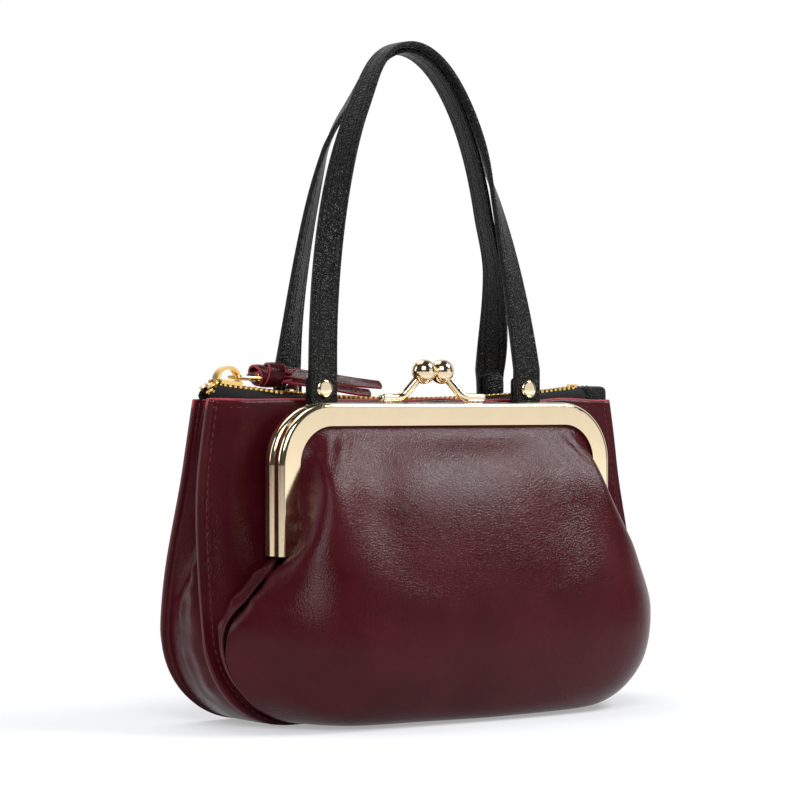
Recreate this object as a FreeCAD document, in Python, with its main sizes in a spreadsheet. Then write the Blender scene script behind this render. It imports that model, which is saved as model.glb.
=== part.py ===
import FreeCAD
import Part
import Sketcher
import math
import os

# A small handbag: a zip-top main bag with two strap handles, and on its front a pouch that hangs in a
# kiss-lock frame. X runs along the frame, the pouch faces -Y and Z is up, from the floor under the middle.

# Driving dimensions in millimetres: alias, value, what it measures.
DIMENSIONS = [
    ("total_depth", 87, "front of the pouch to the back of the bag"),
    ("bag_height", 136.5, "floor to the cut top edge of the bag"),
    ("bag_top_width", 217, "bag across its top edge"),
    ("bag_flare", 8.5, "widest height of the bag beyond each end of its top edge"),
    ("bag_corner_radius", 42, "rounded lower corners of the panels"),
    ("bag_top_depth", 20.5, "outer faces of the panels at the top"),
    ("bag_low_depth", 38, "outer faces of the panels at the base"),
    ("bag_upright_top", 26.5, "upright stretch of a panel below its top edge"),
    ("bag_upright_low", 35, "upright stretch of a panel above the base"),
    ("leather", 1.6, "thickness of the bag leather"),
    ("lining", 0.6, "thickness of the lining cloth"),
    ("seam_lip", 3, "panel edge standing proud of the gusset"),
    ("fit_gap", 0.05, "clearance of pieces that are sewn or pressed together"),
    ("slip_gap", 0.15, "clearance of leather in a channel"),
    ("run_gap", 0.3, "clearance of pieces that pass each other"),
    ("overrun", 5, "how far a cutting shape passes what it cuts"),
    ("zip_rise", 5.5, "ends of the zip chain above the top edge"),
    ("zip_sag", 5.3, "drop of the chain between its ends"),
    ("zip_end_inset", 14, "ends of the chain in from the ends of the top edge"),
    ("tape_thickness", 0.8, "zip tape"),
    ("tape_tuck", 6, "zip tape below the top edge"),
    ("tape_tail", 9, "zip tapes past the open end of the chain"),
    ("tooth_pitch", 2.6, "spacing of the teeth of one row"),
    ("tooth_width", 1.1, "tooth along the chain"),
    ("tooth_height", 2.2, "tooth across the tape"),
    ("tooth_root", 2.9, "tooth from the chain's middle to its clamped end"),
    ("tooth_tip", 0.75, "tooth past the chain's middle"),
    ("stop_length", 1.6, "metal stops along the chain"),
    ("end_tab_length", 14, "leather tab on the closed end of the zip"),
    ("end_tab_round", 2.5, "rounded top edges of that tab"),
    ("slider_length", 11, "zip slider along the chain"),
    ("slider_width", 8.8, "zip slider across its open end"),
    ("slider_narrow_width", 7.8, "zip slider across its closed end"),
    ("slider_plate", 1, "thickness of the slider's two plates"),
    ("slider_channel", 3, "height of the slider's channel"),
    ("slider_lip", 0.8, "rim of the slider's plates"),
    ("slider_slot", 1.5, "slot for the tape between the rims"),
    ("slider_post_length", 3.2, "post that parts the two rows of teeth"),
    ("slider_post_width", 1.8, "widest part of that post"),
    ("slider_parking", -1, "middle of the closed slider in from the end of the arc"),
    ("crown_radius", 6.2, "outside of the slider's arched crown"),
    ("crown_thickness", 1.3, "band of the crown"),
    ("crown_width", 4, "crown across the chain"),
    ("link_length", 11.5, "pull link between its two end bars"),
    ("link_width", 9.8, "outside of the pull link"),
    ("link_rod", 1.8, "diameter of the link's wire"),
    ("link_corner", 1.1, "bend of the link's wire at its middle line"),
    ("link_ahead", 3, "hanging bar ahead of the crown's middle"),
    ("link_rise", 1.9, "hanging bar above the slider's top plate"),
    ("pull_lift", 3.5, "tilt of the pull above the chain, in degrees"),
    ("pull_strip", 1.4, "thickness of the leather pull strip"),
    ("pull_width", 5.6, "width of the pull strip"),
    ("pull_neck", 5.5, "link bar to where the strip's two layers meet"),
    ("pull_split", 15, "link bar to where the two tails part"),
    ("pull_long_tail", 64, "link bar to the end of the upper tail"),
    ("pull_short_tail", 57, "link bar to the end of the lower tail"),
    ("keeper_start", 7, "link bar to the keeper band"),
    ("keeper_length", 7, "keeper band along the strip"),
    ("keeper_thickness", 1.3, "leather of the keeper band"),
    ("strap_width", 15, "handle strap"),
    ("strap_thickness", 3, "handle strap"),
    ("strap_spacing", 111, "middle lines of the two ends of a handle"),
    ("strap_tail", 22, "strap ends below the bag's top edge"),
    ("tab_thickness", 1.5, "backing tab of a strap end"),
    ("tab_rise", 10.5, "backing tab above the bag's top edge"),
    ("tab_corner", 3, "rounded corners of tabs and strap ends"),
    ("bend_rise", 13.5, "line where a handle bends, above the bag's top edge"),
    ("handle_top", 294.5, "floor to the top of the handles"),
    ("handle_lean", 2.9, "how far the handles lean backwards at the top"),
    ("rivet_rise", 4.7, "rivets above the bag's top edge"),
    ("rivet_diameter", 8.2, "rivet caps"),
    ("rivet_dome", 1.7, "height of the outer rivet cap"),
    ("rivet_back", 1.1, "thickness of the inner rivet cap"),
    ("rivet_rim", 0.5, "straight rim of the outer cap"),
    ("rivet_post", 3, "diameter of the rivet's post"),
    ("frame_width", 178, "outside of the kiss-lock frame"),
    ("frame_drop", 1.2, "top of the frame below the bag's top edge"),
    ("frame_leg", 68.8, "top of the frame to the hinge line"),
    ("frame_corner_radius", 26, "outer corners of the frame"),
    ("frame_band", 9.7, "height of the channel in the plane of the frame"),
    ("frame_depth", 6.6, "one channel from front to back"),
    ("frame_wall", 1, "sheet of the channel"),
    ("frame_round", 2.2, "rolled outer edges of the channel"),
    ("frame_gap", 0.3, "between the two closed halves"),
    ("leg_rise", 5, "ends of the legs above the hinge line"),
    ("lug_radius", 2.6, "rounded end of the hinge lugs"),
    ("lug_thickness", 1.2, "hinge lugs"),
    ("lug_inset", 1.7, "first lug out from the inner edge of the leg"),
    ("lug_root", 1, "lug up into its leg"),
    ("pin_diameter", 2.4, "hinge pins"),
    ("pin_clearance", 0.05, "hinge pin in its holes, on the radius"),
    ("pin_head_diameter", 4.4, "hinge pin heads"),
    ("pin_head", 0.8, "thickness of the hinge pin heads"),
    ("clasp_offset", -5.5, "middle of the clasp from the middle of the frame"),
    ("ball_diameter", 10.7, "balls of the clasp"),
    ("ball_rise", 13.5, "middle of the balls above the frame"),
    ("ball_cross", 0.9, "how far a ball passes the joint of the two halves"),
    ("arm_rod", 3.6, "diameter of the clasp arms"),
    ("arm_reach", 24, "foot of an arm from the middle of the frame"),
    ("arm_elbow", 14, "elbow of an arm from the middle of the frame"),
    ("arm_bend", 6, "bend of an arm at its elbow"),
    ("arm_gap", 0.4, "arm above the frame between its pegs"),
    ("peg_diameter", 2, "pegs that hold an arm"),
    ("cord_diameter", 2.3, "paper cord in a channel"),
    ("tongue", 6.5, "leather inside a channel"),
    ("pouch_flare", 26, "widest height of the pouch beyond each side of the frame"),
    ("pouch_widest_z", 40, "height of that, and radius of the lower corners"),
    ("pouch_shoulder_z", 61, "where the pouch's sides leave the legs"),
    ("pouch_clear", 0.8, "pouch inside the frame's inner edge"),
    ("gusset_top_z", 56, "upper ends of the pouch gusset"),
]

# Places worked out from the dimensions: alias, formula, what it is.
PLACES = [
    ("bag_low_width", "dims.bag_top_width + 2 * dims.bag_flare", "bag across its widest height"),
    ("bag_mid_y", "dims.total_depth / 2 - dims.bag_low_depth / 2", "middle plane of the bag"),
    ("bag_swell", "(dims.bag_low_depth - dims.bag_top_depth) / 2", "how far a panel swells"),
    ("bag_curve_top", "dims.bag_height - dims.bag_upright_top", "upper end of the swell"),
    ("bag_curve_mid", "(bag_curve_top + dims.bag_upright_low) / 2", "middle of the swell"),
    ("bag_curve_radius",
     "((bag_curve_top - dims.bag_upright_low)^2 + bag_swell^2) / (4 * bag_swell)", "both arcs of the swell"),
    ("zip_reach", "dims.bag_top_width / 2 - dims.zip_end_inset", "half the chain"),
    ("zip_low_z", "dims.bag_height + dims.zip_rise - dims.zip_sag", "lowest point of the chain"),
    ("zip_radius", "(zip_reach^2 + dims.zip_sag^2) / (2 * dims.zip_sag)", "arc of the sagging chain"),
    ("zip_centre_z", "zip_low_z + zip_radius", "centre of that arc"),
    ("tape_face", "dims.bag_top_depth / 2 - dims.leather - dims.fit_gap", "outer faces of the tapes"),
    ("pouch_width", "dims.frame_width + 2 * dims.pouch_flare", "pouch across its widest height"),
    ("frame_top_z", "dims.bag_height - dims.frame_drop", "top of the frame"),
    ("frame_inner_z", "frame_top_z - dims.frame_band", "inner edge of the frame's top"),
    ("frame_inner_x", "dims.frame_width / 2 - dims.frame_band", "inner edges of the frame's legs"),
    ("frame_inner_radius", "dims.frame_corner_radius - dims.frame_band", "inner corners of the frame"),
    ("hinge_z", "frame_top_z - dims.frame_leg", "hinge line"),
    ("leg_end_z", "hinge_z + dims.leg_rise", "lower ends of the legs"),
    ("pouch_back_y", "bag_mid_y - dims.bag_low_depth / 2 - dims.fit_gap", "back face of the pouch"),
    ("frame_back_y", "pouch_back_y + dims.slip_gap + dims.frame_wall", "back face of the frame"),
    ("hinge_y", "frame_back_y - dims.frame_depth - dims.frame_gap / 2", "joint of the two frame halves"),
    ("frame_offset", "(dims.frame_gap + dims.frame_depth) / 2", "middle of a half from that joint"),
    ("pouch_rim_y", "hinge_y - dims.frame_gap / 2 - dims.frame_depth + dims.frame_wall + dims.slip_gap",
     "front face of the pouch's front rim"),
    ("pouch_bulge", "dims.total_depth / 2 + pouch_rim_y", "how far the pouch bulges forward"),
    ("lug_out_x", "frame_inner_x + dims.lug_inset + dims.lug_thickness + dims.slip_gap", "second lug"),
]

# The bulging front of the pouch, as shares of the pouch chosen by eye.
# Cross-sections of the pouch from its rim to its foremost face. After the depth come shares: how far the top
# edge falls and the shoulders climb, how wide the top and the widest line are, how far the lower edge rises
# and how round the shoulders are.
POUCH_STATIONS = (
    (0.00, 0.000, 0.000, 1.000, 1.000, 0.000, 1.00),
    (0.10, 0.043, 0.486, 1.013, 0.968, 0.010, 0.25),
    (0.25, 0.107, 0.500, 1.013, 0.933, 0.010, 0.35),
    (0.45, 0.216, 0.470, 1.019, 0.887, 0.020, 0.45),
    (0.65, 0.349, 0.220, 0.892, 0.829, 0.100, 0.75),
    (0.82, 0.491, -0.016, 0.662, 0.737, 0.275, 0.90),
    (0.93, 0.591, -0.188, 0.560, 0.565, 0.525, 1.00),
    (1.00, 0.627, -0.250, 0.420, 0.390, 0.725, 1.00),
)
HANDLE_SECTIONS = 25  # cross-sections along a handle
HANDLE_ARCH_POWER = 1.25  # 1 is half an ellipse, more is a narrower crown
HANDLE_TWIST_POWER = 0.8  # under 1 the strap turns sooner above its ends
FRONT, REAR = -1, 1
UP = FreeCAD.Vector(0, 0, 1)
ALONG = FreeCAD.Vector(1, 0, 0)
BACKWARD = FreeCAD.Vector(0, 1, 0)
PLANES = {  # how a drawing's own x and y lie in space
    "XY": FreeCAD.Rotation(),
    "XZ": FreeCAD.Rotation(ALONG, 90),
    "YZ": FreeCAD.Rotation(FreeCAD.Vector(1, 1, 1), 120),
}

doc = FreeCAD.newDocument("frame_purse")
nodes = {}


def fill_sheet(name, rows, prefix):
    """Makes a sheet with one aliased cell for each row."""
    sheet = doc.addObject("Spreadsheet::Sheet", name)
    for number, (alias, content, note) in enumerate(rows, start=1):
        sheet.set(f"A{number}", note)
        sheet.set(f"B{number}", f"{prefix}{content}")
        sheet.setAlias(f"B{number}", alias)
    doc.recompute()
    return sheet


dims = fill_sheet("dims", DIMENSIONS, "")
places = fill_sheet("places", PLACES, "=")


def bind(thing, **expressions):
    """Binds properties to the sheets; a double underscore in a name stands for a dot."""
    for name, expression in expressions.items():
        thing.setExpression(name.replace("__", "."), expression)


def node(thing, label):
    """Names a finished sub-part."""
    thing.Label = label
    nodes[label] = thing
    return thing


def feature(label, shape):
    """A sub-part whose shape is worked out here from the sheets' values."""
    thing = doc.addObject("Part::Feature", label)
    thing.Shape = shape
    return node(thing, label)


def arc_centre(start, end, radius, turn):
    """Centre of the shorter arc from start to end; turn is 1 to the left and -1 to the right."""
    chord = end - start
    side = FreeCAD.Vector(-chord.y, chord.x, 0).normalize()
    return (start + end) / 2 + side * turn * math.sqrt(max(radius ** 2 - (chord.Length / 2) ** 2, 0))


def draw(sketch, corners, closed=True):
    """Draws a loop or path whose corners and radii are bound to the sheets.

    A corner is (x, y) where a straight run starts, or (x, y, radius, turn) where an arc starts.
    """
    spots = [FreeCAD.Vector(sketch.evalExpression(c[0]), sketch.evalExpression(c[1]), 0) for c in corners]
    runs = len(corners) if closed else len(corners) - 1
    first = sketch.GeometryCount
    ends = []
    for number in range(runs):
        start, end = spots[number], spots[(number + 1) % len(spots)]
        if len(corners[number]) == 2:
            sketch.addGeometry(Part.LineSegment(start, end))
            ends.append((1, 2))
            continue
        radius, turn = sketch.evalExpression(corners[number][2]), corners[number][3]
        centre = arc_centre(start, end, radius, turn)
        angles = [math.atan2(spot.y - centre.y, spot.x - centre.x) for spot in (start, end)][::turn]
        sketch.addGeometry(Part.ArcOfCircle(Part.Circle(centre, UP, radius), *angles))
        ends.append((1, 2)[::turn])
        tie(sketch, corners[number][2], "Radius", first + number)
    for number in range(runs):
        after = (number + 1) % runs
        if closed or after:
            sketch.addConstraint(Sketcher.Constraint(
                "Coincident", first + number, ends[number][1], first + after, ends[after][0]))
    for number, corner in enumerate(corners):
        last = number == runs
        place = (first + runs - 1, ends[-1][1]) if last else (first + number, ends[number][0])
        for expression, kind, axis in ((corner[0], "DistanceX", -2), (corner[1], "DistanceY", -1)):
            if expression == "0":
                sketch.addConstraint(Sketcher.Constraint("PointOnObject", *place, axis))
            else:
                tie(sketch, expression, kind, -1, 1, *place)


def tie(sketch, expression, kind, *places_in_sketch):
    """Adds one dimension to a sketch and binds it to the sheets."""
    index = sketch.addConstraint(
        Sketcher.Constraint(kind, *places_in_sketch, sketch.evalExpression(expression)))
    sketch.setExpression(f"Constraints[{index}]", expression)


def draw_circle(sketch, x, y, radius):
    """Draws one circle bound to the sheets."""
    centre = FreeCAD.Vector(sketch.evalExpression(x), sketch.evalExpression(y), 0)
    circle = sketch.addGeometry(Part.Circle(centre, UP, sketch.evalExpression(radius)))
    tie(sketch, radius, "Radius", circle)
    for expression, kind, axis in ((x, "DistanceX", -2), (y, "DistanceY", -1)):
        if expression == "0":
            sketch.addConstraint(Sketcher.Constraint("PointOnObject", circle, 3, axis))
        else:
            tie(sketch, expression, kind, -1, 1, circle, 3)


def free_sketch(name, plane, *loops, at="0"):
    """A sketch that stands in the document, on a plane at a place along the plane's normal axis."""
    sketch = doc.addObject("Sketcher::SketchObject", name)
    sketch.Placement = FreeCAD.Placement(FreeCAD.Vector(), PLANES[plane])
    bind(sketch, **{f"Placement__Base__{ {'XY': 'z', 'XZ': 'y', 'YZ': 'x'}[plane] }": at})
    for loop in loops:
        draw(sketch, loop)
    return sketch


def extrude(name, sketch, forward, backward="0"):
    """A solid from a sketch, so far along its normal and so far against it."""
    solid = doc.addObject("Part::Extrusion", name)
    solid.Base = sketch
    solid.DirMode = "Normal"
    solid.Solid = True
    bind(solid, LengthFwd=forward, LengthRev=backward)
    return solid


def combine(kind, name, first, second):
    """A boolean of two objects."""
    result = doc.addObject(kind, name)
    result.Base = first
    result.Tool = second
    return result


def mirrored_pair(label, solid):
    """A group of a solid and its mirror image across the bag's middle."""
    mirror = doc.addObject("Part::Mirroring", f"{label}_mirror")
    mirror.Source = solid
    mirror.Normal = ALONG
    pair = doc.addObject("Part::Compound", label)
    pair.Links = [solid, mirror]
    return node(pair, label)


def body(label):
    """A new body that is a sub-part."""
    return node(doc.addObject("PartDesign::Body", label), label)


def body_sketch(owner, name, role, *loops, at="0", closed=True):
    """A sketch on one of a body's own planes, moved along its normal."""
    sketch = owner.newObject("Sketcher::SketchObject", name)
    sketch.AttachmentSupport = [(next(o for o in owner.Origin.OriginFeatures if o.Role == role), "")]
    sketch.MapMode = "FlatFace"
    bind(sketch, AttachmentOffset__Base__z=at)
    for loop in loops:
        draw(sketch, loop, closed)
    return sketch


def pad(owner, name, sketch, length, symmetric=False, cut=False):
    """Pads or pockets a body's sketch."""
    kind = "PartDesign::Pocket" if cut else "PartDesign::Pad"
    made = owner.newObject(kind, name)
    made.Profile = sketch
    made.SideType = "Symmetric" if symmetric else "One side"
    bind(made, Length=length)
    return made


def pipe(owner, name, profile, path):
    """Carries a profile along a path in a body."""
    made = owner.newObject("PartDesign::AdditivePipe", name)
    made.Profile = profile
    made.Spine = (path, [f"Edge{number + 1}" for number in range(path.GeometryCount)])
    return made


# The main bag


def bag_side_curve(side, inset, lower="0", upper="dims.bag_height"):
    """A panel's swelling line in the YZ plane, from its top down, as corners for draw."""
    top = f"places.bag_mid_y + {side} * (dims.bag_top_depth / 2 - ({inset}))"
    low = f"{top} + {side} * places.bag_swell"
    middle = f"{top} + {side} * places.bag_swell / 2"
    radius = "places.bag_curve_radius"
    return [
        (top, upper),
        (top, "places.bag_curve_top", radius, side),
        (middle, "places.bag_curve_mid", radius, -side),
        (low, "dims.bag_upright_low"),
        (low, lower),
    ]


def upward(corners):
    """The same line drawn the other way."""
    spots = [corner[:2] for corner in corners][::-1]
    bends = [(corner[2], -corner[3]) if len(corner) > 2 else () for corner in corners[:-1]][::-1] + [()]
    return [spot + bend for spot, bend in zip(spots, bends)]


def bag_outline(inset, floor, upper="dims.bag_height"):
    """The outline of a panel in the XZ plane, from its top left corner round the base to its top right."""
    top = f"(dims.bag_top_width / 2 - ({inset}))"
    low = f"(places.bag_low_width / 2 - ({inset}))"
    corner = f"(dims.bag_corner_radius - ({inset}))"
    bend = f"({floor} + {corner})"
    side = f"((({upper}) - {bend})^2 + dims.bag_flare^2) / (2 * dims.bag_flare)"
    return [
        (f"-{top}", upper, side, 1),
        (f"-{low}", bend, corner, 1),
        (f"-{low} + {corner}", floor),
        (f"{low} - {corner}", floor, corner, 1),
        (low, bend, side, 1),
        (top, upper),
    ]


def bag_wall(label, side, inset, thickness, edge_inset, floor, upper="dims.bag_height"):
    """A panel or lining: a swelling sheet trimmed to its outline."""
    outer = bag_side_curve(side, inset, upper=upper)
    inner = bag_side_curve(side, f"{inset} + {thickness}", upper=upper)
    sheet = extrude(f"{label}_sheet", free_sketch(f"{label}_swell", "YZ", outer + upward(inner)),
                    "places.bag_low_width / 2 + dims.overrun", "places.bag_low_width / 2 + dims.overrun")
    outline = free_sketch(f"{label}_outline", "XZ", bag_outline(edge_inset, floor, upper))
    trim = extrude(f"{label}_trim", outline, "dims.total_depth", "dims.total_depth")
    return node(combine("Part::Common", label, sheet, trim), label)


def bag_strip(label, inset, floor, thickness, wall_inset, upper="dims.bag_height"):
    """A gusset or its lining: a band round both sides and the base, cut to fit between two walls."""
    outer = bag_outline(inset, floor, upper)
    inner = bag_outline(f"{inset} + {thickness}", f"{floor} + {thickness}", upper)
    band = extrude(f"{label}_band", free_sketch(f"{label}_outline", "XZ", outer + upward(inner)),
                   "dims.total_depth", "dims.total_depth")
    front, rear = (bag_side_curve(side, wall_inset, upper=upper) for side in (FRONT, REAR))
    room = extrude(f"{label}_room", free_sketch(f"{label}_section", "YZ", front + upward(rear)),
                   "places.bag_low_width / 2 + dims.overrun", "places.bag_low_width / 2 + dims.overrun")
    return node(combine("Part::Common", label, band, room), label)


def make_bag():
    lining_inset = "dims.leather + dims.fit_gap"
    lining_edge = "dims.seam_lip + dims.leather + dims.fit_gap"
    lining_top = "dims.bag_height - dims.tape_tuck - dims.fit_gap"
    for side, word in ((FRONT, "front"), (REAR, "rear")):
        bag_wall(f"main_{word}_panel", side, "0", "dims.leather", "0", "0")
        bag_wall(f"main_lining_{word}", side, lining_inset, "dims.lining", lining_edge, lining_inset,
                 lining_top)
    bag_strip("main_gusset", "dims.seam_lip", "0", "dims.leather", lining_inset, lining_top)
    bag_strip("main_lining_gusset", lining_edge, lining_inset, "dims.lining",
              f"{lining_inset} + dims.lining + dims.fit_gap", lining_top)


# The zip


def chain_z(x, off="0"):
    """Height of the sagging chain at a place along it, or of a line so far above it."""
    return f"places.zip_centre_z - sqrt((places.zip_radius - ({off}))^2 - ({x})^2)"


def make_tape(side, word):
    """A tape: an upright web sewn inside the panel, and a flange that carries the teeth."""
    label = f"zip_tape_{word}"
    left, right = "-places.zip_reach - dims.tape_tail", "places.zip_reach"
    half = "dims.tape_thickness / 2"
    above, below = f"places.zip_radius - {half}", f"places.zip_radius + {half}"
    web = free_sketch(f"{label}_web", "XZ", [
        (left, chain_z(left, half), above, 1),
        (right, chain_z(right, half)),
        (right, "dims.bag_height - dims.tape_tuck"),
        (left, "dims.bag_height - dims.tape_tuck"),
    ], at=f"places.bag_mid_y + {side} * places.tape_face")
    flange = free_sketch(f"{label}_flange", "XZ", [
        (left, chain_z(left, half), above, 1),
        (right, chain_z(right, half)),
        (right, chain_z(right, f"-{half}"), below, -1),
        (left, chain_z(left, f"-{half}")),
    ], at=f"places.bag_mid_y + {side} * places.tape_face")
    spans = ("dims.tape_thickness", "places.tape_face - dims.tooth_root / 2")
    solids = []
    for sketch, span in zip((web, flange), spans):
        directions = (span, "0") if side == REAR else ("0", span)
        solids.append(extrude(f"{sketch.Name}_solid", sketch, *directions))
    node(combine("Part::Fuse", label, *solids), label)


def on_chain(shape, x):
    """Carries a shape from the lowest point of the chain along its arc to a place x."""
    turn = math.degrees(math.asin(-x / places.zip_radius))
    return shape.rotated(FreeCAD.Vector(0, places.bag_mid_y, places.zip_centre_z), BACKWARD, turn)


def make_teeth(side, word):
    """A row of teeth: a broad clamped end on the tape and a narrow head in the middle, every pitch."""
    root, tip = side * dims.tooth_root, -side * dims.tooth_tip
    neck = side * dims.tooth_root / 2
    wide, slim = dims.tooth_width / 2, dims.tooth_width / 3
    plan = [(-wide, neck), (-wide, root), (wide, root), (wide, neck), (slim, neck), (wide, 0), (slim, tip),
            (-slim, tip), (-wide, 0), (-slim, neck)]
    base = FreeCAD.Vector(0, places.bag_mid_y, places.zip_low_z - dims.tooth_height / 2)
    corners = [base + FreeCAD.Vector(x, y, 0) for x, y in plan]
    outline = Part.makePolygon(corners + corners[:1])
    tooth = Part.Face(outline).extrude(UP * dims.tooth_height)
    slot = FreeCAD.Vector(-dims.tooth_width / 2 - dims.fit_gap, min(neck, root + side * dims.overrun), 0)
    gap = Part.makeBox(dims.tooth_width + 2 * dims.fit_gap, abs(root - neck) + dims.overrun,
                       dims.tape_thickness + 2 * dims.fit_gap,
                       base + slot + UP * (dims.tooth_height - dims.tape_thickness - 2 * dims.fit_gap) / 2)
    tooth = tooth.cut(gap)
    first = -places.zip_reach + dims.slider_parking + (1 + side) * dims.tooth_pitch / 4
    count = int((2 * places.zip_reach - dims.slider_parking - dims.stop_length) / dims.tooth_pitch)
    row = [on_chain(tooth, first + number * dims.tooth_pitch) for number in range(count)]
    feature(f"zip_teeth_{word}", Part.makeCompound(row))


def make_stops():
    """Metal stops: one across both rows at the closed end, one on each tape at the open end."""
    height = dims.tooth_height + 2 * dims.tape_thickness
    slot = dims.tape_thickness + 2 * dims.fit_gap

    def clamp(low_y, high_y, open_low, open_high):
        corner = FreeCAD.Vector(-dims.stop_length / 2, places.bag_mid_y, places.zip_low_z)
        block = Part.makeBox(dims.stop_length, high_y - low_y, height,
                             corner + BACKWARD * low_y - UP * height / 2)
        return block.cut(Part.makeBox(dims.stop_length, open_high - open_low, slot,
                                      corner + BACKWARD * open_low - UP * slot / 2))

    inner, outer = dims.tooth_root / 2, dims.tooth_root
    whole = clamp(-outer, outer, inner - dims.fit_gap, outer)
    whole = whole.common(clamp(-outer, outer, -outer, -inner + dims.fit_gap))
    feature("zip_bottom_stop", on_chain(whole, places.zip_reach - dims.stop_length))
    past_slider = dims.slider_length / 2 + dims.run_gap + dims.stop_length / 2
    place = -places.zip_reach + dims.slider_parking - past_slider
    front = clamp(-outer, -inner + dims.tape_thickness, -outer, -inner + dims.fit_gap)
    rear = clamp(inner - dims.tape_thickness, outer, inner - dims.fit_gap, outer)
    for stop, word in ((front, "front"), (rear, "rear")):
        feature(f"zip_top_stop_{word}", on_chain(stop, place))


def make_end_tab():
    """The leather tab that caps the closed end of the zip, sewn in between the panels."""
    block = doc.addObject("Part::Box", "zip_end_tab_block")
    bind(block, Length="dims.end_tab_length - dims.fit_gap", Width="2 * places.tape_face",
         Height="dims.zip_rise + dims.tape_tuck + dims.tooth_height / 2",
         Placement__Base__x="places.zip_reach + dims.fit_gap",
         Placement__Base__y="places.bag_mid_y - places.tape_face",
         Placement__Base__z="dims.bag_height - dims.tape_tuck")
    doc.recompute()
    top = block.Shape.BoundBox.ZMax
    tops = [number for number, edge in enumerate(block.Shape.Edges, start=1)
            if min(vertex.Z for vertex in edge.Vertexes) > top - dims.fit_gap]
    rounded = doc.addObject("Part::Fillet", "zip_end_tab")
    rounded.Base = block
    rounded.Edges = [(number, dims.end_tab_round, dims.end_tab_round) for number in tops]
    node(rounded, "zip_end_tab")


def slider_place():
    """Where the closed slider stands on the chain."""
    parked = -places.zip_reach + dims.slider_parking
    turn = math.degrees(math.asin(-parked / places.zip_radius))
    on_floor = FreeCAD.Placement(FreeCAD.Vector(0, places.bag_mid_y, places.zip_low_z), FreeCAD.Rotation())
    about = FreeCAD.Vector(0, places.bag_mid_y, places.zip_centre_z)
    return FreeCAD.Placement(FreeCAD.Vector(), FreeCAD.Rotation(BACKWARD, turn), about).multiply(on_floor)


def make_slider():
    """Two plates with rims, joined by the post between the rows, under an arched crown."""
    slider = body("zip_slider")
    left, right = "-dims.slider_length / 2", "dims.slider_length / 2"
    wide, narrow = "dims.slider_width / 2", "dims.slider_narrow_width / 2"
    height = "(dims.slider_channel + 2 * dims.slider_plate)"
    plan = [(left, f"-{wide}"), (right, f"-{narrow}"), (right, narrow), (left, wide)]
    pad(slider, "slider_block", body_sketch(slider, "slider_plan", "XY_Plane", plan), height, symmetric=True)
    reach = "dims.slider_length / 2 + dims.overrun"
    post_end, post_mid = f"{left} + dims.slider_post_length", f"{left} + dims.slider_post_length / 2"
    post_half = "dims.slider_post_width / 2"
    inner_wide, inner_narrow = f"{wide} - dims.slider_lip", f"{narrow} - dims.slider_lip"
    channel = [(f"-({reach})", f"-({inner_wide})"), (reach, f"-({inner_narrow})"), (reach, inner_narrow),
               (f"-({reach})", inner_wide)]
    post = [(left, "0"), (post_mid, f"-{post_half}"), (post_end, "0"), (post_mid, post_half)]
    pad(slider, "slider_channel", body_sketch(slider, "slider_channel_plan", "XY_Plane", channel, post),
        "dims.slider_channel", symmetric=True, cut=True)
    for side, word in ((-1, "front"), (1, "rear")):
        beyond = f"{side} * ({wide} + dims.overrun)"
        slot = [(f"-({reach})", f"{side} * ({inner_wide})"), (reach, f"{side} * ({inner_narrow})"),
                (reach, beyond), (f"-({reach})", beyond)]
        pad(slider, f"slider_slot_{word}", body_sketch(slider, f"slider_slot_plan_{word}", "XY_Plane", slot),
            "dims.slider_slot", symmetric=True, cut=True)
    foot = f"{height} / 2"
    outer, inner = "dims.crown_radius", "(dims.crown_radius - dims.crown_thickness)"
    sunk = f"{foot} - dims.slider_plate / 2"
    arch = [(outer, foot, outer, 1), ("0", f"{foot} + {outer}", outer, 1), (f"-{outer}", foot),
            (f"-{outer}", sunk), (f"-{inner}", sunk), (f"-{inner}", foot, inner, -1),
            ("0", f"{foot} + {inner}", inner, -1), (inner, foot), (inner, sunk), (outer, sunk)]
    pad(slider, "slider_crown", body_sketch(slider, "slider_crown_arch", "XZ_Plane", arch),
        "dims.crown_width", symmetric=True)
    slider.Placement = slider_place()


def pull_place():
    """Where the pull hangs: its hanging bar at the origin, lifted off the chain."""
    bar = FreeCAD.Vector(dims.link_ahead, 0, dims.slider_channel / 2 + dims.slider_plate + dims.link_rise)
    lift = FreeCAD.Placement(bar, FreeCAD.Rotation(BACKWARD, -dims.pull_lift))
    return slider_place().multiply(lift)


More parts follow.
